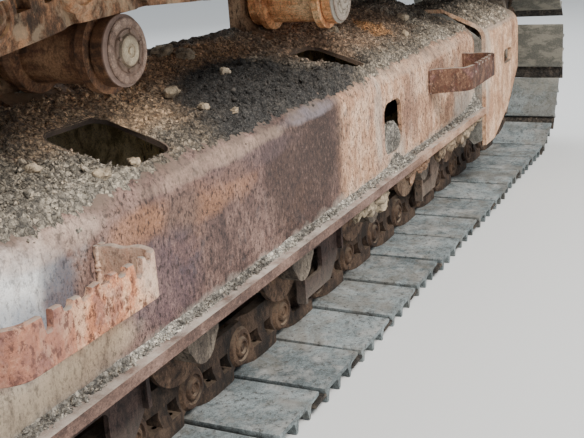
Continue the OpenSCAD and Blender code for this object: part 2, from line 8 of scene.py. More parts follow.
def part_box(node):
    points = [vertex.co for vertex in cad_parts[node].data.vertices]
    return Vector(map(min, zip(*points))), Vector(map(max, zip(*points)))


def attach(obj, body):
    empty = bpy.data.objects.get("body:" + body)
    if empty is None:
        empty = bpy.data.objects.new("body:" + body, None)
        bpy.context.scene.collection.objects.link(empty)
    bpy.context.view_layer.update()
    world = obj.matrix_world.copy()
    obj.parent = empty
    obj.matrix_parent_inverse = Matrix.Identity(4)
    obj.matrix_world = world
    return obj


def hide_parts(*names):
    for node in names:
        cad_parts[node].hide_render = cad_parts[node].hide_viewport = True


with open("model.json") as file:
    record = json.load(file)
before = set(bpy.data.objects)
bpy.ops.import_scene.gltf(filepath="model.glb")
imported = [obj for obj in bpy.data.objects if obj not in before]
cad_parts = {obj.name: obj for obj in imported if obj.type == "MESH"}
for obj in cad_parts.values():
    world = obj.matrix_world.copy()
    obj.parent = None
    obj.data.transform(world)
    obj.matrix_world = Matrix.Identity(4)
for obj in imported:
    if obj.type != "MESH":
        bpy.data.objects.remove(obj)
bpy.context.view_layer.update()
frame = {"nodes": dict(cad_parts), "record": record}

# The CAD source works in millimetres from mid length; this shift takes its x and y to the frame
sourceLow = {"x": -1.48, "y": -0.244}
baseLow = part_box("frame_base")[0]
shift = np.array([baseLow.x - sourceLow["x"], baseLow.y - sourceLow["y"], 0.0])

def place(points):
    # source millimetres to metres in the frame
    return np.asarray(points, float) / 1000 + shift

print("camera")
view = {"focalPx": 947.0, "widthPx": 584, "yaw": 0.46345, "tilt": 0.29683, "roll": 0.06993,
    "eye": (-1689.76, -1002.25, 886.87), "sensor": 36, "clip": 0.05}
camData = bpy.data.cameras.new("camera")
camData.sensor_fit = "HORIZONTAL"
camData.sensor_width = view["sensor"]
camData.lens = view["focalPx"] / view["widthPx"] * view["sensor"]
camData.clip_start = view["clip"]
cam = bpy.data.objects.new("camera", camData)
bpy.context.collection.objects.link(cam)
turn = (Matrix.Rotation(view["yaw"] - math.pi / 2, 4, "Z") @ Matrix.Rotation(math.pi / 2 - view["tilt"], 4, "X")
    @ Matrix.Rotation(-view["roll"], 4, "Z"))
cam.matrix_world = Matrix.Translation(place(view["eye"])) @ turn
bpy.context.scene.camera = cam

print("light and floor")
light = {"sky": (0.86, 0.93, 1.0), "skyPower": 0.72, "floor": (0.66, 0.66, 0.65), "floorRough": 0.9,
    "floorHalf": 30, "lamps": {"daylight": ((-1.5, -4.2, 6.0), (0.2, -0.2, 0.3), 3.0, 900, (1.0, 0.97, 0.92)),
        "backlight": ((4.5, 2.5, 4.0), (0.5, 0, 0.4), 4.0, 200, (0.92, 0.96, 1.0))}}
world = bpy.data.worlds.new("sky")
world.use_nodes = True
sky = world.node_tree.nodes["Background"].inputs
sky["Color"].default_value = (*light["sky"], 1)
sky["Strength"].default_value = light["skyPower"]
bpy.context.scene.world = world

for name, (at, target, size, power, color) in light["lamps"].items():
    # a square lamp at one point, turned towards another
    data = bpy.data.lights.new(name, "AREA")
    data.shape = "SQUARE"
    data.size = size
    data.energy = power
    data.color = color
    lamp = bpy.data.objects.new(name, data)
    bpy.context.collection.objects.link(lamp)
    lamp.location = at
    lamp.rotation_euler = (Vector(target) - Vector(at)).to_track_quat("-Z", "Y").to_euler()

floorMesh = bpy.data.meshes.new("floor")
floorMesh.from_pydata([(x * light["floorHalf"], y * light["floorHalf"], 0)
        for x, y in ((-1, -1), (1, -1), (1, 1), (-1, 1))], [], [(0, 1, 2, 3)])
floor = bpy.data.objects.new("floor", floorMesh)
bpy.context.collection.objects.link(floor)
floorMat = bpy.data.materials.new("paleFloor")
floorMat.use_nodes = True
floorLook = floorMat.node_tree.nodes["Principled BSDF"].inputs
floorLook["Base Color"].default_value = (*light["floor"], 1)
floorLook["Roughness"].default_value = light["floorRough"]
floorMesh.materials.append(floorMat)

print("shapes")

def smoothStep(value):
    # 3t^2 - 2t^3 between 0 and 1
    t = np.clip(value, 0, 1)
    return t * t * (3 - 2 * t)

def randoms(seed):
    return np.random.default_rng(seed)

def flatNoise(x, y, cell, seed, steps=4, keep=0.55):
    # random values at the nodes of a lattice, blended by a smooth step, in layers of half the cell each
    total, weight = 0, 0
    for k in range(steps):
        table = randoms(seed + k).random((256, 256))
        u, v = x * 2 ** k / cell, y * 2 ** k / cell
        i, j = np.floor(u).astype(int), np.floor(v).astype(int)
        fu, fv = smoothStep(u - i), smoothStep(v - j)
        i0, i1, j0, j1 = i % 256, (i + 1) % 256, j % 256, (j + 1) % 256
        low = table[i0, j0] * (1 - fu) + table[i1, j0] * fu
        high = table[i0, j1] * (1 - fu) + table[i1, j1] * fu
        total = total + keep ** k * (low * (1 - fv) + high * fv)
        weight += keep ** k
    return total / weight

def waves(points, length, seed):
    # sum of sine waves in random directions, about -1 to 1
    count = 14
    dice = randoms(seed)
    ways = dice.normal(size=(3, count)) / length * 3.2
    return np.sin(points @ ways + dice.random(count) * 6.28).sum(-1) / math.sqrt(count)

def outward(shape):
    # a closed shape has a positive volume when its faces point out, or else each face is turned over
    points, faces = shape
    volume = 0
    for group in faces:
        first = points[group[:, 0]]
        for k in range(1, group.shape[1] - 1):
            corners = np.cross(points[group[:, k]], points[group[:, k + 1]])
            volume += np.einsum("ij,ij->i", first, corners).sum()
    return (points, [group[:, ::-1] for group in faces]) if volume < 0 else shape

def shell(front, back, keep=None):
    # two grids of points, one behind the other, joined by walls round the cells that are kept
    rows, cols = front.shape[:2]
    keep = np.ones((rows - 1, cols - 1), bool) if keep is None else keep
    ids = np.arange(rows * cols).reshape(rows, cols)
    corners = {"a": ids[:-1, :-1], "b": ids[1:, :-1], "c": ids[1:, 1:], "d": ids[:-1, 1:]}
    far = rows * cols
    a, b, c, d = (corners[key][keep] for key in "abcd")
    faces = [np.stack([a, b, c, d], 1), np.stack([d, c, b, a], 1) + far]
    rim = np.pad(keep, 1)
    for p, q, beside in (("a", "b", rim[1:-1, :-2]), ("b", "c", rim[2:, 1:-1]),
        ("c", "d", rim[1:-1, 2:]), ("d", "a", rim[:-2, 1:-1])):
        edge = keep & ~beside
        u, v = corners[p][edge], corners[q][edge]
        faces.append(np.stack([v, u, u + far, v + far], 1))
    faces = np.concatenate(faces)
    used, index = np.unique(faces, return_inverse=True)
    points = np.concatenate([front.reshape(-1, 3), back.reshape(-1, 3)])[used]
    return outward((points, [index.reshape(-1, 4)]))

def tube(rings):
    # rings of points joined one to the next, with a flat face over each end
    count, sides = rings.shape[:2]
    ids = np.arange(count * sides).reshape(count, sides)
    near, far = ids[:-1], ids[1:]
    quads = np.stack([near, np.roll(near, -1, 1), np.roll(far, -1, 1), far], -1).reshape(-1, 4)
    return outward((rings.reshape(-1, 3), [quads, ids[:1, ::-1], ids[-1:]]))

def turned(profile, sides):
    # profile of radius and distance along the axle, turned about Y
    angles = np.arange(sides) * 2 * math.pi / sides
    r, y = np.asarray(profile, float).T
    ring = np.stack([np.cos(angles), 0 * angles, np.sin(angles)], -1)
    return tube(r[:, None, None] * ring + y[:, None, None] * np.array([0, 1, 0]))

def moved(shape, spot):
    return shape[0] + np.asarray(spot, float), shape[1]

def stamp(shape, turns, spots):
    # copies of a shape, each turned by its own matrix and moved to its own spot
    points, faces = shape
    spread = np.einsum("kij,nj->kni", turns, points) + spots[:, None]
    step = len(points) * np.arange(len(spots))[:, None, None]
    return spread.reshape(-1, 3), [(group[None] + step).reshape(-1, group.shape[1]) for group in faces]

def metres(shape):
    return place(shape[0]), shape[1]

def makePiece(name, shapes, slot, sharp=None, stands=(), finish=None):
    # joins shapes into one mesh that rides on the root body
    points, groups, start = [], {}, 0
    for shapePoints, shapeFaces in shapes:
        for group in shapeFaces:
            groups.setdefault(group.shape[1], []).append(group + start)
        points.append(shapePoints)
        start += len(shapePoints)
    groups = [np.concatenate(parts) for parts in groups.values()]
    corners = np.concatenate([group.ravel() for group in groups]).astype(np.int32)
    sizes = np.concatenate([np.full(len(group), group.shape[1]) for group in groups])
    mesh = bpy.data.meshes.new(name)
    mesh.vertices.add(start)
    mesh.vertices.foreach_set("co", np.concatenate(points).astype(np.float32).ravel())
    mesh.loops.add(len(corners))
    mesh.loops.foreach_set("vertex_index", corners)
    mesh.polygons.add(len(sizes))
    mesh.polygons.foreach_set("loop_start", np.r_[0, np.cumsum(sizes)[:-1]].astype(np.int32))
    mesh.update(calc_edges=True)
    mesh.validate()
    if sharp is not None:
        mesh.polygons.foreach_set("use_smooth", np.ones(len(mesh.polygons), bool))
        mesh.set_sharp_from_angle(angle=math.radians(sharp))
    mesh.materials.append(finish or finishes[slot])
    piece = bpy.data.objects.new(name, mesh)
    bpy.context.collection.objects.link(piece)
    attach(piece, "root")
    if stands:
        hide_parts(*stands)
    print("  piece", name, len(mesh.polygons), "faces")

print("materials")

class Nodes:
    # Short hand for building a material's node tree
    def __init__(self, name):
        self.material = bpy.data.materials.new(name)
        self.material.use_nodes = True
        self.tree = self.material.node_tree
        self.shader = self.tree.nodes["Principled BSDF"]
        self.coords = self.tree.nodes.new("ShaderNodeTexCoord").outputs["Object"]

    def feed(self, made, key, value):
        if isinstance(value, bpy.types.NodeSocket):
            self.tree.links.new(value, made.inputs[key])
        else:
            made.inputs[key].default_value = value

    def node(self, kind, output, links, **settings):
        # a new node, its settings and inputs, and one of its outputs
        made = self.tree.nodes.new("ShaderNode" + kind)
        for key, value in settings.items():
            setattr(made, key, value)
        for key, value in links.items():
            self.feed(made, key, value)
        return made.outputs[output]

    def vector(self, operation, links, output=0):
        return self.node("VectorMath", output, links, operation=operation)

    def mapped(self, scale, spot=(0, 0, 0)):
        # object coordinates, stretched and then shifted
        return self.node("Mapping", 0, {"Vector": self.coords, "Location": spot, "Scale": scale})

    def noise(self, scale, detail, rough, at=None, warp=0.0, output="Fac"):
        return self.node("TexNoise", output, {"Vector": at or self.coords, "Scale": scale, "Detail": detail,
            "Roughness": rough, "Distortion": warp})

    def wavy(self, scale, amount):
        # coordinates pushed about by a colour noise, so that straight edges wander
        push = self.vector("SUBTRACT", {0: self.noise(scale, 3, 0.5, output="Color"), 1: (0.5, 0.5, 0.5)})
        return self.vector("ADD", {0: self.coords, 1: self.vector("SCALE", {0: push, "Scale": amount})})

    def cells(self, scale, at, output, feature="F1"):
        return self.node("TexVoronoi", output, {"Vector": at, "Scale": scale}, feature=feature)

    def ramp(self, value, stops):
        stops, made = list(stops), self.tree.nodes.new("ShaderNodeValToRGB")
        self.feed(made, "Fac", value)
        band = made.color_ramp
        while len(band.elements) < len(stops):
            band.elements.new(0.5)
        for element, (spot, color) in zip(band.elements, stops):
            element.position = spot
            element.color = (*color, 1)
        return made.outputs["Color"]

    def level(self, value, low, high, toLow=0.0, toHigh=1.0):
        # a value's run from low to high, clamped and spread over another run
        return self.node("MapRange", "Result", {
            "Value": value, "From Min": low, "From Max": high, "To Min": toLow, "To Max": toHigh})

    def math(self, operation, a, b=0.0):
        return self.node("Math", 0, {0: a, 1: b}, operation=operation)

    def times(self, a, b):
        return self.math("MULTIPLY", a, b)

    def plus(self, a, b):
        return self.math("ADD", a, b)

    def mix(self, factor, a, b, blend="MIX"):
        a, b = ((*value, 1) if isinstance(value, tuple) else value for value in (a, b))
        return self.node("Mix", 2, {0: factor, 6: a, 7: b}, data_type="RGBA", blend_type=blend)

    def axis(self, name, vector=None):
        return self.node("SeparateXYZ", name, {"Vector": vector or self.coords})

    def ragged(self, value, amount, scale):
        # adds noise to a value, so that an edge drawn from it is ragged
        wander = self.math("SUBTRACT", self.noise(scale, 6, 0.62), 0.5)
        return self.plus(value, self.times(wander, 2 * amount))

    def spot(self, middle, reach, edge, scale=14):
        # 1 near the middle and 0 past the reach, both in source millimetres
        shrunk = self.mapped(tuple(1000 / r for r in reach),
            tuple(-m / r * 1000 for m, r in zip(place(middle), reach)))
        away = self.vector("LENGTH", {0: shrunk}, "Value")
        return self.level(self.ragged(away, edge, scale), 1.15, 0.7)

    def finish(self, color, rough, height, depth):
        self.feed(self.shader, "Base Color", color)
        self.feed(self.shader, "Roughness", rough)
        bump = self.node("Bump", 0, {"Height": height, "Distance": depth, "Strength": 0.8})
        self.feed(self.shader, "Normal", bump)
        return self.material

def scaled(tone, by):
    # a tint made darker or brighter, at most white
    return tuple(min(1, by * c) for c in tone)

def grey(value):
    return (value, value, value)

def trio(*thousandths):
    # three tones, dark to pale
    values = [v / 1000 for v in thousandths]
    return [tuple(values[k:k + 3]) for k in (0, 3, 6)]

rustLook = {"blotch": 7, "streak": (30, 30, 9), "speck": (120, 120, 62), "pits": 0.8, "glints": 0.4, "edge": 0.6,
    "wander": 0.3, "wanderScale": 3, "dustLow": 0.36, "dustHigh": 0.6, "rough": 0.78, "depth": 0.003,
    "patches": (), "under": (), "spots": (), "bands": ()}
def weathered(name, tones, **own):
    # rust in three tones: blotches and upright streaks, patches of other tints, dark specks, then dust and spots
    n, look = Nodes(name), {**rustLook, **own}
    blotch = n.noise(look["blotch"], 7, 0.66, warp=0.5)
    streak = n.noise(1.0, 6, 0.66, at=n.mapped(look["streak"]))
    grain = n.noise(300, 5, 0.75)
    mixed = n.plus(n.times(blotch, 0.55), n.times(streak, 0.45))
    edges = (0.4, 0.49, 0.57)
    color = n.ramp(mixed, zip(edges, tones))
    if "far" in look:
        # a second trio of tones takes over along the object
        along = n.ragged(n.axis("X"), look["wander"], look["wanderScale"])
        color = n.mix(n.level(along, look["start"], look["end"]), color, n.ramp(mixed, zip(edges, look["far"])))
    for scale, low, high, strength, tint in look["patches"]:
        color = n.mix(n.level(n.noise(scale, 7, 0.7, warp=0.3), low, high, 0, strength), color, tint)
    for middle, reach, strength, tint in look["under"]:
        color = n.mix(n.times(n.spot(middle, reach, 0.5), strength), color, tint)
    specks = n.noise(1.0, 5, 0.7, at=n.mapped(look["speck"]))
    pits = n.level(specks, 0.525, 0.6)
    color = n.mix(n.times(pits, look["pits"]), color, scaled(tones[0], 0.28))
    color = n.mix(n.level(specks, 0.44, 0.36, 0, look["glints"]), color, scaled(tones[2], 1.25))
    grit = n.ramp(grain, [(0.36, grey(0.62)), (0.5, grey(1)), (0.66, grey(1.45))])
    color = n.mix(1.0, color, grit, "MULTIPLY")
    for middle, reach, strength, tint in look["spots"]:
        spot = n.times(n.spot(middle, reach, look["edge"]), n.level(grain, 0.3, 0.62, 0.35, strength))
        color = n.mix(n.times(spot, n.level(streak, 0.4, 0.54, 0.6, 1.0)), color, tint)
    if look["spots"]:
        color = n.mix(n.times(pits, 0.5 * look["pits"]), color, scaled(tones[0], 0.6))
    for low, high, strength, tint in look["bands"]:
        # dust that grows from one height to another, in metres
        fade = n.level(n.ragged(n.axis("Z"), 0.03, 17), low, high, 0, strength)
        color = n.mix(n.times(fade, n.level(grain, 0.3, 0.6, 0.4, 1.0)), color, tint)
    if "dust" in look:
        # dust on what looks up
        layer = n.level(n.axis("Z", n.node("NewGeometry", "Normal", {})), 0.2, 0.85)
        patch = n.level(n.noise(17, 7, 0.72), look["dustLow"], look["dustHigh"])
        color = n.mix(n.times(layer, patch), color, look["dust"])
    if "extra" in look:
        color = look["extra"](n, color, grain)
    height = n.plus(n.times(blotch, 0.4), n.plus(n.times(grain, 0.4), n.times(specks, -0.8)))
    rough = n.level(mixed, 0.3, 0.7, look["rough"], 0.95)
    return n.finish(color, rough, height, look["depth"])

soilLook = {"grit": 330, "pale": 0.36, "lumps": 120, "depth": 0.009, "spots": (),
    "shades": [(0.0, (0.45, 0.45, 0.47)), (0.6, grey(1)), (1.0, (2.2, 2.15, 2.1))]}
def soil(name, tones, clods, **own):
    # broad patches, then named spots, then a shade of its own for each clod, with pale and dark grit
    n, look = Nodes(name), {**soilLook, **own}
    color = n.ramp(n.noise(8, 7, 0.65), zip((0.36, 0.48, 0.62), tones))
    for middle, reach, strength, tint in look["spots"]:
        color = n.mix(n.times(n.spot(middle, reach, 0.5, 11), strength), color, tint)
    warped = n.wavy(clods * 0.8, 1.6 / clods)
    shade = n.ramp(n.axis("X", n.cells(clods, warped, "Color")), look["shades"])
    color = n.mix(1.0, color, shade, "MULTIPLY")
    crack = n.level(n.cells(clods * 0.55, warped, "Distance", "DISTANCE_TO_EDGE"), 0.0, 0.16)
    # darker at the cracks between clods and brighter in their middles: painted shade in the cracks, painted light
    # on the clod tops
    crackShadeAndTopLight = [(0.0, (0.16, 0.15, 0.14)), (0.5, grey(0.9)), (1.0, (1.4, 1.38, 1.35))]
    color = n.mix(0.55, color, n.ramp(crack, crackShadeAndTopLight), "MULTIPLY")
    grit = n.noise(look["grit"], 5, 0.8)
    color = n.mix(n.level(grit, 0.54, 0.66, 0, look["pale"]), color, (0.55, 0.52, 0.46))
    color = n.mix(n.level(grit, 0.46, 0.36, 0, 0.7), color, scaled(tones[0], 0.3))
    lumps = n.noise(look["lumps"], 6, 0.75)
    height = n.plus(n.times(crack, 0.35), n.plus(lumps, n.times(grit, 0.4)))
    return n.finish(color, 0.95, height, look["depth"])

wallY = -207
carrier = {"rear": -450, "front": 430, "z": 721}

def metresAlong(axis, value):
    # one source coordinate in the frame
    return value / 1000 + shift[axis]

def onWall(rows):
    # spots of the side wall from x, z and the reach along both; rows of four are whole spots already
    return [row if len(row) == 4 else ((row[0], wallY, row[1]), (row[2], 200, row[3]), *row[4:]) for row in rows]

def deckRows(rows):
    # spots of the deck from a place and the reach along x and y
    return [((x, y, z), (rx, ry, 200), strength, tint) for x, y, z, rx, ry, strength, tint in rows]

mauve = trio(62, 36, 31, 145, 84, 68, 250, 155, 125)
peach = trio(270, 138, 80, 500, 285, 170, 700, 465, 320)
paleDust, greyDust, whiteDust = (0.52, 0.46, 0.39), (0.34, 0.34, 0.35), (0.95, 0.95, 0.93)
slate, orange, umber = (0.055, 0.052, 0.055), (0.36, 0.165, 0.08), (0.04, 0.022, 0.016)
wallFinish = weathered("sideWall", mauve,
    far=peach, start=metresAlong(0, 135), end=metresAlong(0, 185), wander=0.035, wanderScale=7,
    dust=(0.15, 0.105, 0.08), dustLow=0.42, streak=(46, 46, 20), speck=(145, 145, 85),
    patches=[(11, 0.56, 0.64, 0.3, (0.28, 0.14, 0.08)), (19, 0.58, 0.64, 0.5, slate),
        (4, 0.52, 0.6, 0.3, (0.18, 0.095, 0.085))],
    under=onWall([
        (-30, 440, 190, 150, 0.72, umber), (90, 480, 90, 110, 0.6, umber),
        (-400, 474, 170, 36, 0.45, orange), (-600, 484, 80, 30, 0.55, orange),
        (-480, 470, 60, 40, 0.5, slate), (-250, 500, 200, 26, 0.6, (0.1, 0.065, 0.065)),
        (-560, 380, 120, 80, 0.45, (0.1, 0.062, 0.08)), (640, 420, 60, 90, 0.6, (0.2, 0.1, 0.065)),
        (880, 470, 110, 50, 0.6, (0.22, 0.11, 0.07))]),
    spots=onWall([
        ((-330, -200, 526), (230, 60, 15), 0.55, (0.44, 0.31, 0.23)),
        # a lavender line along the bend: painted highlight
        ((30, -200, 530), (130, 60, 15), 0.5, (0.3, 0.27, 0.3)),
        ((700, -200, 530), (420, 60, 18), 0.6, (0.52, 0.38, 0.28)),
        (-1010, 490, 230, 62, 0.95, whiteDust), (-1020, 478, 200, 56, 0.95, whiteDust),
        (-850, 400, 60, 60, 0.6, greyDust), (-790, 462, 36, 60, 0.9, (0.085, 0.1, 0.13)),
        (-890, 430, 60, 46, 0.75, (0.15, 0.19, 0.25)), (-1000, 455, 24, 60, 0.6, (0.2, 0.25, 0.32)),
        (-940, 470, 22, 40, 0.6, (0.62, 0.45, 0.3)),
        ((-495, -90, 580), (125, 110, 70), 0.9, (0.13, 0.075, 0.045)),
        ((385, -90, 580), (125, 110, 70), 0.9, (0.15, 0.1, 0.065)),
        (-1180, 420, 200, 60, 0.9, whiteDust), (-800, 520, 120, 22, 0.7, (0.6, 0.45, 0.36)),
        (-760, 355, 110, 32, 0.75, (0.42, 0.27, 0.15)), (-1000, 340, 240, 42, 0.8, (0.66, 0.55, 0.4)),
        (-790, 335, 170, 30, 0.7, (0.6, 0.46, 0.32)), (520, 330, 70, 60, 0.8, paleDust),
        (400, 440, 26, 120, 0.5, paleDust), (1185, 335, 150, 60, 0.9, paleDust),
        (1060, 400, 30, 90, 0.5, paleDust)]),
    bands=[(0.535, 0.556, 0.8, (0.095, 0.074, 0.056)), (0.318, 0.302, 0.6, paleDust)])
flangeFinish = weathered("flange", trio(70, 38, 29, 140, 80, 60, 220, 135, 105),
    far=trio(190, 100, 60, 380, 220, 140, 540, 360, 250), start=0.5, end=0.8,
    dust=(0.42, 0.36, 0.31), dustLow=0.3, pits=0.35, streak=(9, 30, 30), speck=(90, 120, 120))
crustTones = trio(320, 250, 135, 640, 510, 290, 850, 720, 460)
crustFinish = weathered("innerCrust", crustTones, streak=(60, 60, 14), pits=0.7, depth=0.005)
guardFinish = weathered("guards", trio(18, 10, 8, 48, 27, 22, 95, 58, 46),
    far=trio(70, 45, 32, 160, 105, 75, 280, 195, 140), start=0.55, end=0.9,
    dust=(0.22, 0.17, 0.13), bands=[(0.16, 0.09, 0.6, (0.2, 0.17, 0.14))])
lowRollerFinish = weathered("trackRollers", trio(45, 25, 16, 115, 66, 40, 210, 130, 83),
    far=trio(90, 50, 30, 230, 140, 90, 400, 270, 180), start=0.3, end=0.7, dust=(0.27, 0.2, 0.14))

def rollerFinish(name, x, tones, rim, cap, ringsOut):
    # brown body; past the face the tint goes by the distance from the axle: rim, dark recess, pale cap
    def face(n, color, grain):
        middle = place((x, 0, carrier["z"]))
        away = n.vector("LENGTH", {0: n.mapped((1, 0, 1), (-middle[0], 0, -middle[2]))}, "Value")
        disc = n.ramp(n.level(away, 0.0, 0.06), [
            (0.0, cap), (0.4, scaled(cap, 0.75)), (0.455, (0.05, 0.038, 0.028)),
            (0.585, (0.085, 0.06, 0.045)), (0.615, rim), (0.9, rim), (0.96, scaled(rim, 1.4))])
        disc = n.mix(n.times(n.level(n.noise(46, 6, 0.7), 0.42, 0.6), 0.35), disc, scaled(rim, 0.5))
        if ringsOut:
            rings = n.math("SINE", n.times(away, 780))
            disc = n.mix(n.level(rings, 0.1, 0.8, 0, 0.55), disc, (0.55, 0.5, 0.42))
        return n.mix(n.level(n.axis("Y"), metresAlong(1, -106), metresAlong(1, -109.5)), color, disc)
    return weathered(name, tones, blotch=14, streak=(60, 7, 60), pits=0.45, rough=0.6, extra=face,
        dust=scaled(tones[1], 0.75))

rearRollerFinish = rollerFinish("rearCarrier", carrier["rear"], trio(68, 32, 15, 190, 86, 40, 330, 175, 88),
    (0.3, 0.205, 0.165), (0.5, 0.41, 0.28), False)
frontRollerFinish = rollerFinish(
    "frontCarrier", carrier["front"], trio(480, 180, 66, 880, 420, 180, 950, 620, 340),
    (0.4, 0.35, 0.29), (0.42, 0.37, 0.3), True)
bracketFinish = weathered("carrierBrackets", trio(70, 34, 17, 190, 100, 52, 340, 210, 120),
    dust=(0.26, 0.17, 0.1), dustLow=0.3, blotch=12)

def climbingRun(n, color, grain):
    # climbing shoes are brown green with smears, the ones below them bluish with mud and dark specks
    high = n.level(n.ragged(n.axis("Z"), 0.05, 9), 0.12, 0.3)
    smear = n.level(n.noise(1.0, 7, 0.72, at=n.mapped((7, 11, 26))), 0.47, 0.56)
    climb = n.mix(smear, (0.11, 0.106, 0.088), (0.235, 0.215, 0.172))
    climb = n.mix(n.level(grain, 0.5, 0.64, 0, 0.5), climb, (0.33, 0.3, 0.24))
    mud = n.level(n.noise(6, 8, 0.72, warp=0.6), 0.49, 0.6, 0, 0.6)
    color = n.mix(mud, color, (0.135, 0.118, 0.095))
    color = n.mix(n.level(n.noise(90, 6, 0.75), 0.55, 0.62, 0, 0.9), color, (0.055, 0.052, 0.048))
    return n.mix(n.times(high, n.level(n.axis("X"), 1.45, 1.75, 0.5, 1.0)), color, climb)

def upperRunDryAndLit(n, color, grain):
    # the chain over the frame is dry and several times as bright as the rest: partly dry mud, partly painted light
    # on the upper run
    bright = n.mix(1.0, color, (5.0, 4.1, 3.2), "MULTIPLY")
    drip = n.level(n.noise(24, 7, 0.7, warp=0.4), 0.47, 0.58)
    bright = n.mix(n.times(drip, 0.55), bright, (0.5, 0.37, 0.24))
    return n.mix(n.level(n.axis("Z"), 0.66, 0.74), color, bright)

def crustInside(n, color, grain):
    # the wall's face towards the frame box has the pale crust, its other face keeps the rust
    crust = n.ramp(n.noise(26, 8, 0.72, warp=0.5), zip((0.42, 0.5, 0.58), crustTones))
    crust = n.mix(n.level(grain, 0.5, 0.4, 0, 0.6), crust, (0.1, 0.075, 0.04))
    return n.mix(n.level(n.axis("Y"), metresAlong(1, 156), metresAlong(1, 152)), color, crust)

# One finish for each material slot of the frame, and one for the link plates
finishes = {
    "rust": weathered("rust", mauve, far=peach, start=-0.2, end=0.7, dust=(0.32, 0.27, 0.22)),
    "peach_rust": weathered("peachRust", trio(270, 135, 72, 520, 290, 162, 740, 490, 325),
        dust=(0.15, 0.115, 0.085), dustLow=0.24, dustHigh=0.44, pits=0.5,
        patches=[(9, 0.53, 0.62, 0.6, (0.45, 0.225, 0.125)), (15, 0.56, 0.63, 0.5, (0.17, 0.115, 0.095))],
        spots=[((1290, -244, 450), (40, 200, 150), 0.85, (0.5, 0.44, 0.37)),
            ((1480, -240, 560), (260, 30, 26), 0.7, paleDust)]),
    "dark_rust": weathered("darkRust", trio(45, 22, 14, 120, 55, 28, 220, 110, 60),
        dust=(0.24, 0.19, 0.14), blotch=12),
    "step_rust": weathered("stepRust", trio(210, 72, 36, 520, 200, 95, 720, 420, 250),
        far=trio(24, 10, 6, 64, 27, 15, 140, 68, 40), start=0.0, end=0.4,
        wander=0.1, dust=(0.27, 0.215, 0.175), dustLow=0.3, dustHigh=0.55, blotch=22,
        pits=0.85, speck=(110, 110, 80), glints=0.15, patches=[(14, 0.53, 0.62, 0.6, (0.2, 0.1, 0.09))],
        spots=[((-1000, -305, 460), (120, 200, 70), 0.75, (0.17, 0.09, 0.09)),
            ((-700, -300, 470), (50, 200, 60), 0.8, (0.6, 0.47, 0.37))]),
    "mud": weathered("mud", trio(26, 15, 10, 72, 40, 24, 150, 90, 55),
        dust=(0.24, 0.18, 0.125), blotch=9, pits=0.45, glints=0.2, extra=upperRunDryAndLit),
    # the link plates take darker tones than the knuckles: painted shade on the plates between the bosses
    "plates": weathered("linkPlatesPaintedShade", trio(14, 9, 6, 42, 25, 16, 100, 62, 40),
        dust=(0.15, 0.105, 0.07), blotch=14, depth=0.004, pits=0.5, extra=upperRunDryAndLit),
    "shoe_grey": weathered("shoeGrey", trio(78, 92, 95, 148, 172, 175, 225, 255, 258),
        streak=(9, 2.5, 9), speck=(70, 70, 70), pits=0.5, dust=(0.3, 0.3, 0.285),
        dustLow=0.46, dustHigh=0.66, extra=climbingRun),
    "steel_grey": weathered("steelGrey", trio(60, 45, 35, 130, 100, 75, 230, 185, 140),
        dust=(0.26, 0.22, 0.17), blotch=12)}
backLook = {"dust": (0.3, 0.24, 0.18), "streak": (26, 26, 5), "pits": 0.6,
    "patches": [(7, 0.52, 0.62, 0.6, (0.21, 0.13, 0.085)), (15, 0.56, 0.63, 0.6, slate)],
    "bands": [(0.4, 0.32, 0.7, (0.27, 0.215, 0.165))]}
backTones = trio(60, 36, 28, 145, 88, 64, 260, 170, 125)
legFinish = weathered("legMounts", trio(72, 38, 27, 170, 92, 62, 300, 185, 130), **backLook, blotch=10)
# Nodes that don't take their slot's finish
ownFinish = {
    "frame_shell": wallFinish, "frame_base": flangeFinish, "frame_ribs": crustFinish,
    "frame_inner_wall": weathered("innerWall", backTones, **backLook, extra=crustInside),
    "leg_joint_rear": legFinish, "leg_joint_front": legFinish,
    "idler_guide_inner": weathered("innerGuide", trio(110, 62, 42, 230, 140, 98, 380, 255, 185), **backLook),
    "carrier_roller_rear": rearRollerFinish, "carrier_roller_front": frontRollerFinish,
    "carrier_bracket_rear": bracketFinish, "carrier_bracket_front": bracketFinish,
    "guide_wall": weathered("guideWall", trio(115, 108, 92, 200, 190, 165, 310, 295, 260),
        patches=[(9, 0.5, 0.6, 0.5, (0.28, 0.2, 0.15))], pits=0.4),
    **{f"track_roller_{k}": lowRollerFinish for k in range(1, 8)},
    **{"track_guard_" + part: guardFinish for part in ("rear", "middle", "front")}}

black, brown, ochre, pale = (0.027, 0.024, 0.022), (0.37, 0.215, 0.115), (0.6, 0.32, 0.14), (0.26, 0.23, 0.185)
deckSpots = deckRows([
    (-820, -150, 560, 330, 110, 0.6, pale), (-400, -20, 600, 260, 110, 0.85, (0.48, 0.325, 0.2)),
    (-70, 60, 640, 400, 80, 0.9, brown), (620, 0, 620, 420, 150, 0.8, (0.36, 0.235, 0.15)),
    (-30, -85, 600, 280, 105, 0.97, black), (-90, -185, 550, 270, 60, 0.9, black),
    (160, -170, 560, 170, 60, 0.92, black), (-420, -170, 560, 120, 60, 0.75, (0.11, 0.085, 0.06)),
    (-170, -190, 550, 120, 34, 0.6, black), (770, -60, 600, 60, 60, 0.85, ochre),
    (-720, 20, 620, 220, 60, 0.8, (0.16, 0.1, 0.058)), (0, 150, 650, 420, 36, 0.85, (0.05, 0.03, 0.018))])
dirtFinish = soil("deckSoil", trio(70, 56, 42, 165, 135, 102, 320, 275, 215), spots=deckSpots, clods=170,
    grit=420)
stoneFinish = soil("deckStones", trio(75, 60, 45, 190, 155, 115, 380, 330, 265),
    spots=deckSpots, clods=130, grit=500, lumps=260, depth=0.002, pale=0.24,
    shades=[(0.0, grey(0.35)), (0.6, grey(0.95)), (1.0, (2.1, 2.0, 1.9))])
clodFinish = soil("dryClods", trio(240, 180, 120, 400, 310, 210, 550, 450, 330),
    clods=60, shades=[(0.0, grey(0.8)), (1.0, grey(1.2))], depth=0.004)
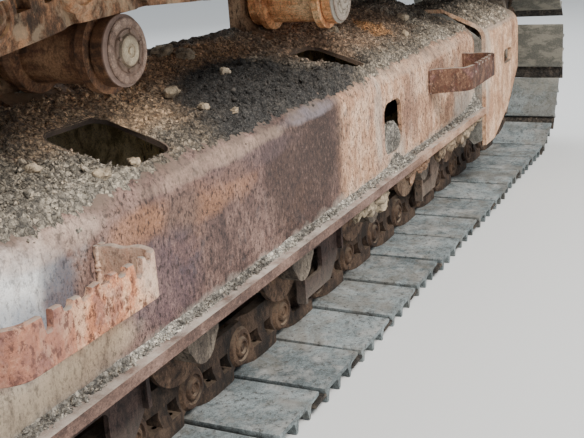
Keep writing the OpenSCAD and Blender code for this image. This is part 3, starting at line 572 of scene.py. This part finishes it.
hangFinish = soil("hangingMud", trio(120, 75, 45, 235, 160, 100, 360, 270, 180),
    clods=50, shades=[(0.0, grey(0.7)), (1.0, grey(1.25))], depth=0.005,
    spots=[((300, -215, 250), (150, 60, 60), 0.7, (0.42, 0.34, 0.235)),
        ((650, -215, 250), (110, 60, 60), 0.6, (0.4, 0.21, 0.12)),
        ((1150, -215, 260), (130, 60, 60), 0.8, (0.4, 0.31, 0.21))])
# near black finish for the shoe hooks that show through the joints: dirt and painted shade in the gaps
hookDirtAndShadeFinish = soil("hookDirtAndShade", trio(18, 15, 12, 35, 28, 22, 70, 55, 42), pale=0.1, clods=80)
ledgeFinish = soil("ledgeGravel", trio(140, 125, 105, 300, 275, 235, 470, 440, 380), clods=190, grit=480)

print("chain")
chainLook = {"links": 51, "pitch": 190, "sides": 20, "bossR": 42, "pinR": 20, "windows": ((48, 80), (110, 140)),
    "inner": 82, "outer": 106, "boltXs": (76, 128), "boltYs": (-97, 97), "nutZ": -37, "headZ": -61}
bushings = frame["nodes"]["chain_bushings"].data
corner = np.zeros(len(bushings.loops), np.int32)
bushings.loops.foreach_get("vertex_index", corner)
spots = np.zeros(3 * len(bushings.vertices), np.float32)
bushings.vertices.foreach_get("co", spots)
pins = spots.reshape(-1, 3)[corner].reshape(chainLook["links"], -1, 3).mean(1).astype(float)
along = np.roll(pins, -1, 0) - pins
along /= np.linalg.norm(along, axis=1)[:, None]
inward = np.stack([-along[:, 2], 0 * along[:, 0], along[:, 0]], 1)
linkTurns = np.stack([along, np.tile([0.0, 1.0, 0.0], (len(pins), 1)), inward], 2) / 1000

def linkPlate(side):
    # side plate of a link on a grid: x runs from pin to pin, rows rise from shoe seat to rail,
    # and both faces step outwards along an S curve, with two windows left open
    look = chainLook
    xs = np.array([-17, -10, 3, 17, 30, 42, 48, 80, 86, 104, 110, 140, 146, 158, 170, 182, 199, 206.0])
    low = np.interp(xs, [-17, 3, 20, 146, 165, 190, 206], [8, -26, -52, -52, -34, -30, 4])
    high = np.interp(xs, [-17, -10, 199, 206], [40, 53, 53, 42])
    sills = np.isin(xs, look["windows"])
    rows = np.stack([low, np.maximum(low + 6, np.where(sills, -22, -32)), np.maximum(low + 9, -5),
        np.maximum(low + 12, np.where(sills, 8, 16)), np.maximum(low + 16, 33), high])
    x = np.tile(xs, (len(rows), 1))
    rise = smoothStep((x - 20) / 40) * 13
    foot = 8 * smoothStep((x - 14) / 14) * smoothStep((158 - x) / 14) * np.array([1, 1, 0, 0, 0, 0])[:, None]
    outside = look["outer"] - 13 + rise + foot
    inside = look["inner"] + 12 * smoothStep((x - 120) / 45) - foot * 0.7
    keep = np.ones((len(rows) - 1, len(xs) - 1), bool)
    for a, b in look["windows"]:
        keep[1:3, (xs[:-1] >= a) & (xs[1:] <= b)] = False
    return shell(np.stack([x, side * outside, rows], -1), np.stack([x, side * inside, rows], -1), keep)

def linkBosses(side):
    # round bosses: the bushing's end at this pin, and the pin's end with its groove at the next
    r, p = chainLook["bossR"], chainLook["pinR"]
    def boss(profile):
        return turned([(radius, side * y) for radius, y in profile], chainLook["sides"])
    pin = boss([(r - 3, 93), (r, 96), (r, 106), (r - 5, 112), (p + 9, 113.5), (p + 7, 109), (p + 2, 109), (p, 114),
        (p - 3, 116), (13, 116), (11, 111), (7, 111), (6, 114)])
    bush = boss([(29, 66), (r - 3, 67), (r, 70), (r, 92.5), (r - 4, 93)])
    return [bush, moved(pin, (chainLook["pitch"], 0, 0))]

def hexBolt(r, high, seat=0.0, way=1):
    # six sided head with a worn top, standing on z = seat
    levels = ((1, 0), (1, high * 0.8), (0.86, high), (0.5, high), (0.42, high * 1.25))
    return tube(np.array([[(r * scale * math.cos(a), r * scale * math.sin(a), seat + way * z)
        for a in np.arange(6) * math.pi / 3] for scale, z in levels]))

boltSpots = [(x, y) for x in chainLook["boltXs"] for y in chainLook["boltYs"]]
nuts = [moved(hexBolt(13, 12), (*spot, chainLook["nutZ"])) for spot in boltSpots]
heads = [moved(hexBolt(14.5, 10, way=-1), (*spot, chainLook["headZ"])) for spot in boltSpots]
for side, name in ((-1, "outboard"), (1, "inboard")):
    makePiece("chain_plates_" + name, [stamp(linkPlate(side), linkTurns, pins)], "mud", 35,
        ["chain_links_" + name], finishes["plates"])
    knuckles = linkBosses(side) + [nut for nut, spot in zip(nuts, boltSpots) if spot[1] * side > 0]
    makePiece("chain_knuckles_" + name, [stamp(part, linkTurns, pins) for part in knuckles], "mud", 35)
bush = turned([(29, -68), (29, -40), (28.3, -28), (28.3, 28), (29, 40), (29, 68)], 18)
makePiece("bushings", [stamp(bush, linkTurns, pins)], "mud", 35, ["chain_bushings"])

capLook = {"face": -114, "sides": 48, "boltRing": 30.5, "boltSides": 6, "boltTurn": 0.3,
    "disc": ((52, -0.3), (52, -2.5), (50, -4), (40, -4.4), (38.5, -2), (35, -1.6), (33.5, -4.5), (28, -5),
        (26.5, -2.2), (25, -2.2), (23.5, -7), (20, -8.5), (11, -8.8), (10, -6.5), (6, -6.4), (5.2, -9.2),
        (2, -9.6)),
    "bolt": ((3.6, -4.4), (3.6, -7.4), (2.6, -8))}
def rollerCap(x):
    # a stepped disc on the roller's face with a rim groove, a worn plug in the middle and a ring of bolts
    look, z = capLook, carrier["z"]
    def onFace(profile, sides, spot):
        return metres(moved(turned([(r, look["face"] + y) for r, y in look[profile]], sides), spot))
    ring = [(x + look["boltRing"] * math.cos(a), 0, z + look["boltRing"] * math.sin(a))
        for a in np.arange(6) * math.pi / 3 + look["boltTurn"]]
    return [onFace("disc", look["sides"], (x, 0, z))] + [onFace("bolt", look["boltSides"], spot) for spot in ring]
capFinish = weathered("capFaces", trio(130, 78, 54, 250, 160, 118, 360, 250, 190),
    streak=(50, 50, 50), blotch=12, pits=0.25, glints=0.15, rough=0.6, edge=0.1,
    spots=[((carrier[end], -118, carrier["z"]), (r, 40, r), strength, tint) for end, r, strength, tint in (
        ("rear", 38, 0.85, (0.07, 0.042, 0.026)), ("rear", 25, 0.95, (0.66, 0.54, 0.37)),
        ("front", 52, 0.8, (0.56, 0.51, 0.42)))])
makePiece("carrier_caps", rollerCap(carrier["rear"]) + rollerCap(carrier["front"]), "dark_rust", 30,
    finish=capFinish)

print("shoes")
shoeLook = {"half": 300, "bevel": 3, "flat": 110, "taper": 0.985, "tilt": 0.007, "slip": (0.3, 3.0, 0),
    "rock": 0.006, "middle": (66.0, -60), "hookMiddle": (-40.0, -70)}
shoeProfile = [(-20, -60), (-19, -54), (-15, -52), (138, -52), (147, -50.5), (152, -52), (153, -55), (150, -59),
    (118, -62), (114, -66), (110, -86), (107, -88), (103, -86), (98, -66), (94, -62), (62, -62), (58, -66),
    (54, -86), (50, -88), (46, -86), (42, -66), (38, -62), (4, -62), (0, -66), (-4, -86), (-8, -88),
    (-12, -86), (-16, -70)]
hookProfile = [(-68, -71), (-60, -67.5), (-44, -66), (-14, -65), (-14, -71), (-40, -72), (-66, -74)]
def shoe(outline, middle):
    # the side view carried across the chain, drawn in a little at both ends
    profile, middle = np.array(outline, float), np.array(middle)
    half, bevel, flat = shoeLook["half"], shoeLook["bevel"], shoeLook["flat"]
    rings = [np.insert(middle + (profile - middle) * (shoeLook["taper"] if abs(y) == half else 1), 1, y, 1)
        for y in (-half, -half + bevel, -flat, flat, half - bevel, half)]
    return tube(np.array(rings))
dice = randoms(5)
slip = np.clip(dice.normal(size=(len(pins), 3)), -2, 2) * np.array(shoeLook["slip"]) / 1000
tilt, rock = dice.normal(size=(2, len(pins))) * np.array([[shoeLook["tilt"]], [shoeLook["rock"]]])
one, none = np.ones(len(pins)), np.zeros(len(pins))
yaw = [np.cos(tilt), -np.sin(tilt), none, np.sin(tilt), np.cos(tilt), none, none, none, one]
roll = [one, none, none, none, np.cos(rock), -np.sin(rock), none, np.sin(rock), np.cos(rock)]
yaw, roll = (np.stack(rows, 1).reshape(-1, 3, 3) for rows in (yaw, roll))
shoeTurns = linkTurns @ yaw @ roll
plate = shoe(shoeProfile, shoeLook["middle"])
hook = shoe(hookProfile, shoeLook["hookMiddle"])
makePiece("shoes", [stamp(shape, shoeTurns, pins + slip) for shape in [plate] + heads], "shoe_grey", 35,
    ["track_shoes"])
# the hooks fill the gaps between shoes, dark with dirt and painted shade
makePiece("shoe_hooks", [stamp(hook, shoeTurns, pins + slip)], "shoe_grey", 35, finish=hookDirtAndShadeFinish)

print("steps")
stepLook = {"xs": (-838, 1004), "low": 428, "high": 494, "half": 5.6, "round": 8,
    "bends": ((-206, -207.0), (-138, -302), (135, -302), (135, -207)),
    "notches": ((-90, 9, 24), (-54, 10, 9), (-18, 10, 9), (18, 10, 9), (54, 10, 9), (90, 9, 23), (113, 6, 11)),
    "shares": (0, 0.02, 0.35, 0.7, 0.93, 0.98, 1.0), "widths": (0.8, 1, 1, 1, 1, 0.9, 0.6),
    "weldXs": (-210, -198, 129, 141), "weldY": -210, "weldZs": (430, 492), "weldR": 4.5}
def stepBar(x0, seed):
    # a bar along a skewed U whose corners are smoothed, with half ellipses taken from its rounded top edge
    look = stepLook
    bends = np.array(look["bends"])
    runs = np.r_[0, np.cumsum(np.linalg.norm(np.diff(bends, axis=0), axis=1))]
    at = np.arange(0, runs[-1], 2.0)
    path = np.stack([np.interp(at, runs, bends[:, k]) for k in (0, 1)], -1)
    wide = np.pad(path, ((look["round"], look["round"]), (0, 0)), "reflect", reflect_type="odd")
    kernel = np.ones(2 * look["round"] + 1) / (2 * look["round"] + 1)
    path = np.stack([np.convolve(wide[:, k], kernel, "valid") for k in (0, 1)], -1)
    way = np.gradient(path, axis=0)
    way /= np.linalg.norm(way, axis=1)[:, None]
    sideways = np.stack([way[:, 1], -way[:, 0]], -1)
    wear = waves(np.c_[path, 0 * at] / 1000, 0.05, seed)
    top = look["high"] + 1.2 * wear
    for x, half, deep in look["notches"]:
        u = (path[:, 0] - x) / half
        top = top - np.where(path[:, 1] < -290, deep * np.clip(1 - u ** 4, 0, 1) ** 0.4, 0)
    half = look["half"] * np.array(look["widths"])[:, None, None]
    z = look["low"] + 0.8 * wear + np.array(look["shares"])[:, None] * (top - look["low"])
    def skin(way):
        # the bar's face on one side, dented by broad waves
        flat = path + way * half * sideways + 0.9 * wear[:, None] * sideways
        return place(np.stack([flat[..., 0] + x0, flat[..., 1], z], -1))
    return shell(skin(1), skin(-1))

def bead(points, r, seed):
    # weld bead: rings along a line, swelling and shrinking with short waves
    points = np.array(points, float)
    long = np.linalg.norm(points[1] - points[0])
    steps = np.linspace(0, 1, int(long / 3) + 2)
    centre = points[0] + steps[:, None] * (points[1] - points[0])
    axis = (points[1] - points[0]) / long
    first = np.cross(axis, (0.3, 0.9, 0.2))
    first /= np.linalg.norm(first)
    second = np.cross(axis, first)
    angle = np.arange(7) * 2 * math.pi / 7
    ring = np.cos(angle)[:, None] * first + np.sin(angle)[:, None] * second
    swell = r * (1 + 0.22 * waves(centre / 1000, 0.006, seed))
    return tube(place(centre[:, None] + swell[:, None, None] * ring))

makePiece("step_bars", [stepBar(x, 7 + k) for k, x in enumerate(stepLook["xs"])], "step_rust", 40,
    ["step_rear", "step_front"])
makePiece("step_welds", [
    bead([(x + dx, stepLook["weldY"], z) for z in stepLook["weldZs"]], stepLook["weldR"], 20 + k)
    for k, x in enumerate(stepLook["xs"]) for dx in stepLook["weldXs"]], "step_rust", 50)

print("bolts and welds")
# each ring: radius, y of the face, count, bolt radius and the way it looks
driveBolts = {"x": -1945, "z": 413, "phase": 0.13, "rings": (
    (80, -186, 12, 10, -1), (164, -70, 24, 9, -1), (197, -48, 24, 10, -1), (150, 134, 18, 11, 1),
    (68, 320, 8, 8, 1)),
    "plug": ((24, -186), (24, -190), (21, -193), (12, -193), (11, -190), (1, -190))}
def boltRing(ringR, y, count, r, way):
    # heads standing on a face that looks along Y, spaced evenly on a circle
    angle = np.arange(count) * 2 * math.pi / count + driveBolts["phase"]
    spots = [driveBolts["x"] + ringR * np.cos(angle), y + 0 * angle, driveBolts["z"] + ringR * np.sin(angle)]
    turn = np.array([[1, 0, 0], [0, 0, way], [0, -way, 0]]) / 1000
    return stamp(hexBolt(r, r * 0.75, -1), np.tile(turn, (count, 1, 1)), place(np.stack(spots, 1)))
plug = moved(turned(driveBolts["plug"], 24), (driveBolts["x"], 0, driveBolts["z"]))
makePiece("drive_bolts", [boltRing(*ring) for ring in driveBolts["rings"]] + [metres(plug)], "dark_rust", 30)

legLook = {"xs": (-700, 700), "half": 120, "low": 331, "high": 581, "beads": ((162, 6.5), (308, 5)),
    "wallBead": [(-1478, 136, 310), (-1478, 136, 630)]}
legWelds = []
for k, x0 in enumerate(legLook["xs"]):
    for y, r in legLook["beads"]:
        ends = [(x0 + a * legLook["half"], y, legLook[z])
            for a, z in ((-1, "low"), (1, "low"), (1, "high"), (-1, "high"))]
        legWelds += [bead((ends[i], ends[(i + 1) % 4]), r, 30 + 4 * k + i) for i in range(4)]
legWelds.append(bead(legLook["wallBead"], 6, 51))
makePiece("leg_welds", legWelds, "rust", 50, finish=legFinish)

print("dirt on the deck")
deck = {"slope": math.radians(18.3), "side": wallY, "corner": 545, "bend": 55, "inner": 149, "rear": -1478,
    "front": 1263, "holes": (-495, 385), "holeHalf": (80, 79), "holeR": 32, "holeY": -90, "rows": 96,
    "spans": ((-1478, -960, 9), (-960, -250, 3.8), (-250, 500, 4.8), (500, 1263, 8))}
bendStart = deck["side"] + deck["bend"] * (1 - math.sin(deck["slope"]))
flatRun = (deck["inner"] - bendStart) / math.cos(deck["slope"])

def deckSurface(s):
    # the deck's section at the distance s from its inboard edge: a slope, then the arc of the bend
    first = math.pi / 2 + deck["slope"]
    angle = first + np.maximum(s - flatRun, 0) / deck["bend"]
    y = deck["inner"] - np.minimum(s, flatRun) * math.cos(deck["slope"])
    z = deck["corner"] + (y - deck["side"]) * math.tan(deck["slope"])
    ny, nz = np.cos(angle), np.sin(angle)
    return y + deck["bend"] * (ny - math.cos(first)), z + deck["bend"] * (nz - math.sin(first)), ny, nz

def holeGap(x, y):
    # distance to the nearer cleaning hole, negative inside it: a box with rounded corners
    gaps = []
    for middle in deck["holes"]:
        u = np.abs(x - middle) - deck["holeHalf"][0] + deck["holeR"]
        v = np.abs(y - deck["holeY"]) / math.cos(deck["slope"]) - deck["holeHalf"][1] + deck["holeR"]
        outside, inside = np.hypot(np.maximum(u, 0), np.maximum(v, 0)), np.minimum(np.maximum(u, v), 0)
        gaps.append(outside + inside - deck["holeR"])
    return np.minimum(*gaps)

def lumpy(x, y, look):
    # broad, middle and fine noise, each less the value at which it makes no height
    (broad, middle, fine), (b, m, f) = look["heights"], look["levels"]
    lumps = np.abs(flatNoise(x, y, *look["lumps"]) - 0.5) * 2
    return (broad * (flatNoise(x, y, *look["broad"]) - b) + middle * (m - lumps)
        + fine * (flatNoise(x, y, *look["grit"]) - f))

# noises: cell, seed, layers and how much of each layer the next one keeps; heaps: x, y, height, reach along both
dirt = {"broad": (150, 11, 3), "lumps": (42, 23, 4, 0.6), "grit": (10, 31, 3, 0.75),
    "heights": (10, 24, 11), "levels": (0.4, 0.27, 0.5), "heaps": (
        (-20, -80, 18, 200, 85), (250, -150, 9, 130, 50), (-190, -150, 6, 120, 50), (-300, 40, 6, 110, 50),
        (-30, 40, 7, 160, 50), (470, -95, 16, 70, 70), (560, 20, 17, 150, 80), (860, -20, 17, 260, 90),
        (640, -150, 8, 160, 40), (330, -150, 10, 60, 40), (-880, -150, 10, 220, 60), (-640, 60, 9, 130, 90),
        (-1250, -20, 12, 240, 120), (1150, 40, 14, 160, 80))}
def dirtHeight(x, y):
    # noise and heaps as bells, thinned over the bend, at the back and towards the holes' edges
    h = lumpy(x, y, dirt)
    for cx, cy, high, rx, ry in dirt["heaps"]:
        h = h + high * np.exp(-((x - cx) / rx) ** 2 - ((y - cy) / ry) ** 2)
    h = h * (1 - 0.6 * smoothStep((y - 90) / 50)) + 3 - 17 * smoothStep((-165 - y) / 40)
    rearSoft = np.where(y < deck["holeY"] + 20 * flatNoise(x, y, 60, 3), 0.9, 0.28)
    soft = np.where(x > 0, np.where(y < -60, 3.0, 0.5), rearSoft)
    return np.minimum(h, -0.6 + np.maximum(holeGap(x, y), 0) * soft)

def sheetOfDirt(name, xs, rows, surface, height, finish, keepWhere=None, sharp=60):
    # a surface along X, raised along its own normal, with a back just under the steel
    y, z, ny, nz = surface(rows)
    x, y2 = np.meshgrid(xs, y)
    h = np.maximum(height(x, y2), -0.8)
    def raised(by):
        return place(np.stack([x, y2 + ny[:, None] * by, z[:, None] + nz[:, None] * by], -1))
    keep = np.maximum(np.maximum(h[:-1, :-1], h[1:, :-1]), np.maximum(h[1:, 1:], h[:-1, 1:])) > -0.7
    if keepWhere is not None:
        keep &= keepWhere((x[:-1, :-1] + x[1:, 1:]) / 2, (y2[:-1, :-1] + y2[1:, 1:]) / 2)
    makePiece(name, [shell(raised(h), raised(h * 0 - 1.2), keep)], "mud", sharp, finish=finish)

sheetOfDirt("deck_dirt", np.concatenate([np.arange(*span) for span in deck["spans"]]),
    np.linspace(0, flatRun + 56, deck["rows"]), deckSurface, dirtHeight, dirtFinish,
    lambda x, y: holeGap(x, y) > 0, 24)

def stones(name, x, y, z, size, finish, seed, coarse=True):
    # broken stones of twenty sides or crumbs of eight, their corners pulled in or out, each turned its own way
    dice = randoms(seed)
    g = (1 + 5 ** 0.5) / 2
    plane = np.array([(-1, g, 0), (1, g, 0), (-1, -g, 0), (1, -g, 0)])
    corners = np.concatenate([np.roll(plane, k, 1) for k in range(3)]) / 1.9
    sides = np.array([(0, 11, 5), (0, 5, 1), (0, 1, 7), (0, 7, 10), (0, 10, 11), (1, 5, 9), (5, 11, 4), (11, 10, 2),
        (10, 7, 6), (7, 1, 8), (3, 9, 4), (3, 4, 2), (3, 2, 6), (3, 6, 8), (3, 8, 9), (4, 9, 5),
        (2, 4, 11), (6, 2, 10), (8, 6, 7), (9, 8, 1)])
    if not coarse:
        corners = np.array([(1, 0, 0), (-1, 0, 0), (0, 1, 0), (0, -1, 0), (0, 0, 1), (0, 0, -1.0)])
        sides = np.array([(0, 2, 4), (2, 1, 4), (1, 3, 4), (3, 0, 4), (2, 0, 5), (1, 2, 5), (3, 1, 5), (0, 3, 5)])
    kinds = 8
    kind = dice.integers(0, kinds, len(x))
    q = dice.normal(size=(len(x), 4))
    q /= np.linalg.norm(q, axis=1)[:, None]
    w, a, b, c = q.T
    turns = np.stack([1 - 2 * (b * b + c * c), 2 * (a * b - c * w), 2 * (a * c + b * w), 2 * (a * b + c * w),
        1 - 2 * (a * a + c * c), 2 * (b * c - a * w), 2 * (a * c - b * w), 2 * (b * c + a * w),
        1 - 2 * (a * a + b * b)], 1).reshape(-1, 3, 3)
    stretch = size[:, None] * (1 + dice.normal(size=(len(x), 3)) * 0.18) * np.array([1, 0.85, 0.7])
    turns = turns * stretch[:, None, :] / 1000
    spots = place(np.stack([x, y, z], 1))
    shapes = []
    for k in range(kinds):
        bent = corners * (0.6 + 0.7 * dice.random((len(corners), 1))) + dice.normal(size=corners.shape) * 0.12
        shapes.append(stamp(outward((bent, [sides])), turns[kind == k], spots[kind == k]))
    makePiece(name, shapes, "mud", finish=finish)

def sizes(dice, middle, spread, count):
    # sizes whose logarithm spreads about the middle one
    return middle * np.exp(dice.normal(size=count) * spread)

crumbLook = {"count": 46000, "placeSeed": 41, "seed": 43, "size": 2.2, "spread": 0.38, "most": 6, "sunk": 0.2}
stoneLook = {"count": 6500, "placeSeed": 47, "seed": 49, "size": 3.3, "spread": 0.42, "most": 11, "sunk": 0.1}
def strewn(count, seed):
    # random places on the deck's section with the dirt's height there, denser at both ends and over the heaps
    dice = randoms(seed)
    x, s = dice.uniform(deck["rear"] + 5, deck["front"] - 5, count), dice.uniform(4, flatRun + 48, count)
    y, z, ny, nz = deckSurface(s)
    high = dirtHeight(x, y)
    rear, front, heaped = (share * np.exp(-((x - middle) / reach) ** 2)
        for share, middle, reach in ((1, -780, 300), (0.7, 800, 400), (0.5, 60, 260)))
    dense = rear + front + heaped
    edge = np.exp(-np.maximum(s - flatRun + 6, 0) / 16)
    chosen = (dice.random(count) < (0.12 + 0.55 * dense) * edge) & (holeGap(x, y) > 3)
    chosen &= (high > -0.6) | (dice.random(count) < 0.35)
    return [v[chosen] for v in (x, y, z, ny, nz, np.maximum(high, 0), dense)] + [dice]

for name, look in (("deck_crumbs", crumbLook), ("deck_stones", stoneLook)):
    x, y, z, ny, nz, high, dense, dice = strewn(look["count"], look["placeSeed"])
    coarse = look is stoneLook
    heap = np.exp(-((x - 60) / 190) ** 2 - ((y + 90) / 80) ** 2)
    middle = look["size"] * (0.6 + 0.5 * np.minimum(dense, 1) + 0.9 * heap) if coarse else look["size"]
    size = sizes(dice, middle, look["spread"], len(x))
    lift = high + size * look["sunk"]
    stones(name, x, y + ny * lift, z + nz * lift, np.minimum(size, look["most"]), stoneFinish, look["seed"],
        coarse)

guide = {"section": ((40, 612), (-104, 612), (-211, 564), (-221, 559), (-229, 552), (-238, 540)), "from": 1268,
    "to": 1656, "step": 4.5, "rows": 62, "broad": (120, 81, 3), "lumps": (40, 87, 4, 0.6),
    "grit": (10, 93, 3, 0.75), "heights": (10, 22, 9), "levels": (0.36, 0.28, 0.5), "stones": 1500}
def guideSurface(s):
    # the guide's roof as a line through its corners, with the normal turned from the line's direction
    y, z = np.array(guide["section"], float).T
    run = np.r_[0, np.cumsum(np.hypot(np.diff(y), np.diff(z)))]
    ty, tz = (np.interp(s + 1, run, line) - np.interp(s - 1, run, line) for line in (y, z))
    long = np.maximum(np.hypot(ty, tz), 1e-9)
    return np.interp(s, run, y), np.interp(s, run, z), tz / long, -ty / long
def guideHeight(x, y):
    # lumps thinned over the bend and towards both ends
    h = lumpy(x, y, guide) + 3
    ends = np.minimum(x - guide["from"], guide["to"] + 8 - x)
    return np.minimum(h - 14 * smoothStep((-196 - y) / 34), -1 + np.maximum(ends, 0) * 0.9)
sheetOfDirt("guide_dirt", np.arange(guide["from"], guide["to"], guide["step"]),
    np.linspace(2, 300, guide["rows"]), guideSurface, guideHeight, dirtFinish, None, 24)
dice = randoms(97)
x, s = dice.uniform(guide["from"] + 4, guide["to"] - 8, guide["stones"]), dice.uniform(6, 290, guide["stones"])
y, z, ny, nz = guideSurface(s)
lift = np.maximum(guideHeight(x, y), 0)
size = sizes(dice, 3.0, 0.45, guide["stones"])
stones("guide_stones", x, y + ny * lift, z + nz * lift, np.minimum(size, 9), stoneFinish, 99)

def clod(spot, size, seed, rows=14, cols=20, rough=0.26):
    # a round body pulled about by waves: radius = 1 + broad waves + fine waves, along each direction
    polar = np.linspace(0.06, math.pi - 0.06, rows)[:, None]
    turn = np.arange(cols)[None] * 2 * math.pi / cols
    way = np.stack([np.sin(polar) * np.cos(turn), np.sin(polar) * np.sin(turn), np.cos(polar) + 0 * turn], -1)
    r = 1
    for k, (share, length) in enumerate(((1, 1.6), (0.5, 0.55), (0.3, 0.24))):
        r = r + rough * share * waves(way, length, seed + k)
    return tube(place(way * r[..., None] * np.asarray(size, float) + np.asarray(spot, float)))

def deckTop(x, y):
    # height of the dirt on the deck's slope
    high = float(dirtHeight(np.array([x]), np.array([y]))[0])
    return deck["corner"] + (y - deck["side"]) * math.tan(deck["slope"]) + max(high, 0)
clods = [(-29, 95, 26), (-14, 51, 22), (-5, 66, 17), (-235, -46, 17), (-250, -120, 13), (-628, -175, 15),
    (-545, -172, 12), (-44, -51, 13), (311, -140, 14), (-215, -165, 12), (340, -160, 12), (560, -30, 17),
    (-900, -130, 18), (-1000, -60, 20), (1010, -60, 18), (860, -120, 15), (-700, -110, 14), (700, 40, 20),
    (-1200, -90, 18), (-840, -60, 13)]
makePiece("dry_clods", [clod((x, y, deckTop(x, y) + r * 0.25), (r, r * 0.8, r * 0.62), 100 + k)
    for k, (x, y, r) in enumerate(clods)], "mud", 40, finish=clodFinish)

print("ledge and grease opening")
ledge = {"z": 301, "wall": wallY, "edge": -243, "access": 505, "rear": -1478, "front": 1263, "step": 6.0,
    "stones": 3000, "spill": 420, "size": 2.1}
def ledgeSurface(y):
    # a level face: its own y, one height, and a normal that points up
    return y, 0 * y + ledge["z"], 0 * y, 0 * y + 1
def ledgeHeight(x, y):
    # a fillet at the wall's foot, a line of gravel beside it, and the spill below the opening
    t = ledge["wall"] - y
    spill = np.exp(-np.abs((x - ledge["access"]) / 42) ** 3)
    n, fine = flatNoise(x, y, 40, 51, 4, 0.6), flatNoise(x, y, 9, 57, 2)
    h = 8 * np.exp(-t / 6) * (0.5 + n) + 6 * (n - 0.45) * np.exp(-((t - 13) / 6) ** 2) + 3 * (fine - 0.5) - 0.9
    h = h + 24 * spill * np.exp(-np.maximum(t, 0) / 16)
    h = h + 46 * np.exp(-(ledge["front"] - x) / 60) * np.exp(-t / 30)
    return h - 14 * smoothStep((t - 16 - 6 * n) / 9)
sheetOfDirt("ledge_dirt", np.arange(ledge["rear"], ledge["front"] + 1, ledge["step"]),
    np.linspace(ledge["wall"], ledge["edge"], 14), ledgeSurface, ledgeHeight, ledgeFinish)
dice = randoms(61)
x = dice.uniform(ledge["rear"] + 3, ledge["front"] - 1, ledge["stones"])
t = np.clip(np.abs(dice.normal(12, 4.5, len(x))), 1.5, 29)
x = np.concatenate([x, dice.normal(ledge["access"], 40, ledge["spill"])])
y = ledge["wall"] - np.concatenate([t, dice.uniform(1, 30, ledge["spill"])])
size = sizes(dice, ledge["size"], 0.45, len(x))
stones("ledge_stones", x, y, ledge["z"] + np.maximum(ledgeHeight(x, y), 0) + size * 0.2, np.minimum(size, 7),
    ledgeFinish, 63)

box = {"from": 390, "to": 620, "step": 4.0, "outer": -203, "inner": -132, "stones": 500, "size": 3.2}
def boxHeight(x, y):
    # gravel heaped inside the frame box against the opening
    run = np.exp(-np.abs((x - ledge["access"]) / 75) ** 3)
    return 106 * run * np.exp(-np.maximum(y + 190, 0) / 60) + 10 * (flatNoise(x, y, 30, 71, 4, 0.6) - 0.4) - 2
sheetOfDirt("box_gravel", np.arange(box["from"], box["to"], box["step"]),
    np.linspace(box["outer"], box["inner"], 18), ledgeSurface, boxHeight, ledgeFinish)
dice = randoms(73)
x, y = dice.normal(ledge["access"], 42, box["stones"]), dice.uniform(-200, -140, box["stones"])
size = sizes(dice, box["size"], 0.4, box["stones"])
stones("box_stones", x, y, ledge["z"] + np.maximum(boxHeight(x, y), 0) + size * 0.2, size, ledgeFinish, 75)

print("mud")
# runs: from, to, lowest edge, size and seed
mud = {"y": -216, "top": 279, "runs": (
    (-640, -590, 262, 12, 2), (-330, -290, 262, 12, 3), (236, 400, 230, 25, 4), (470, 540, 258, 12, 8),
    (592, 716, 224, 20, 5), (812, 1140, 228, 20, 6), (1150, 1255, 244, 26, 7))}
lumps = []
for x0, x1, low, size, seed in mud["runs"]:
    # dried mud under the flange: bodies flattened towards it, hanging down to a ragged line
    dice = randoms(seed)
    for x in np.arange(x0, x1, size * 1.15):
        drop = (mud["top"] - low) * (0.45 + 0.55 * dice.random())
        spot = (x + dice.normal() * 4, mud["y"] + dice.normal() * 5, mud["top"] - drop * 0.45)
        reach = (size * (0.75 + 0.35 * dice.random()), size * 0.6, drop * 0.55)
        lumps.append(clod(spot, reach, seed * 1000 + len(lumps), 12, 18, 0.3))
makePiece("flange_mud", lumps, "mud", 50, finish=hangFinish)

slotOf = {row["node"]: row["material_slot"] for row in frame["record"]["subparts"]}
for name, node in frame["nodes"].items():
    finish = ownFinish.get(name, finishes[slotOf[name]])
    node.data.materials.clear()
    node.data.materials.append(finish)
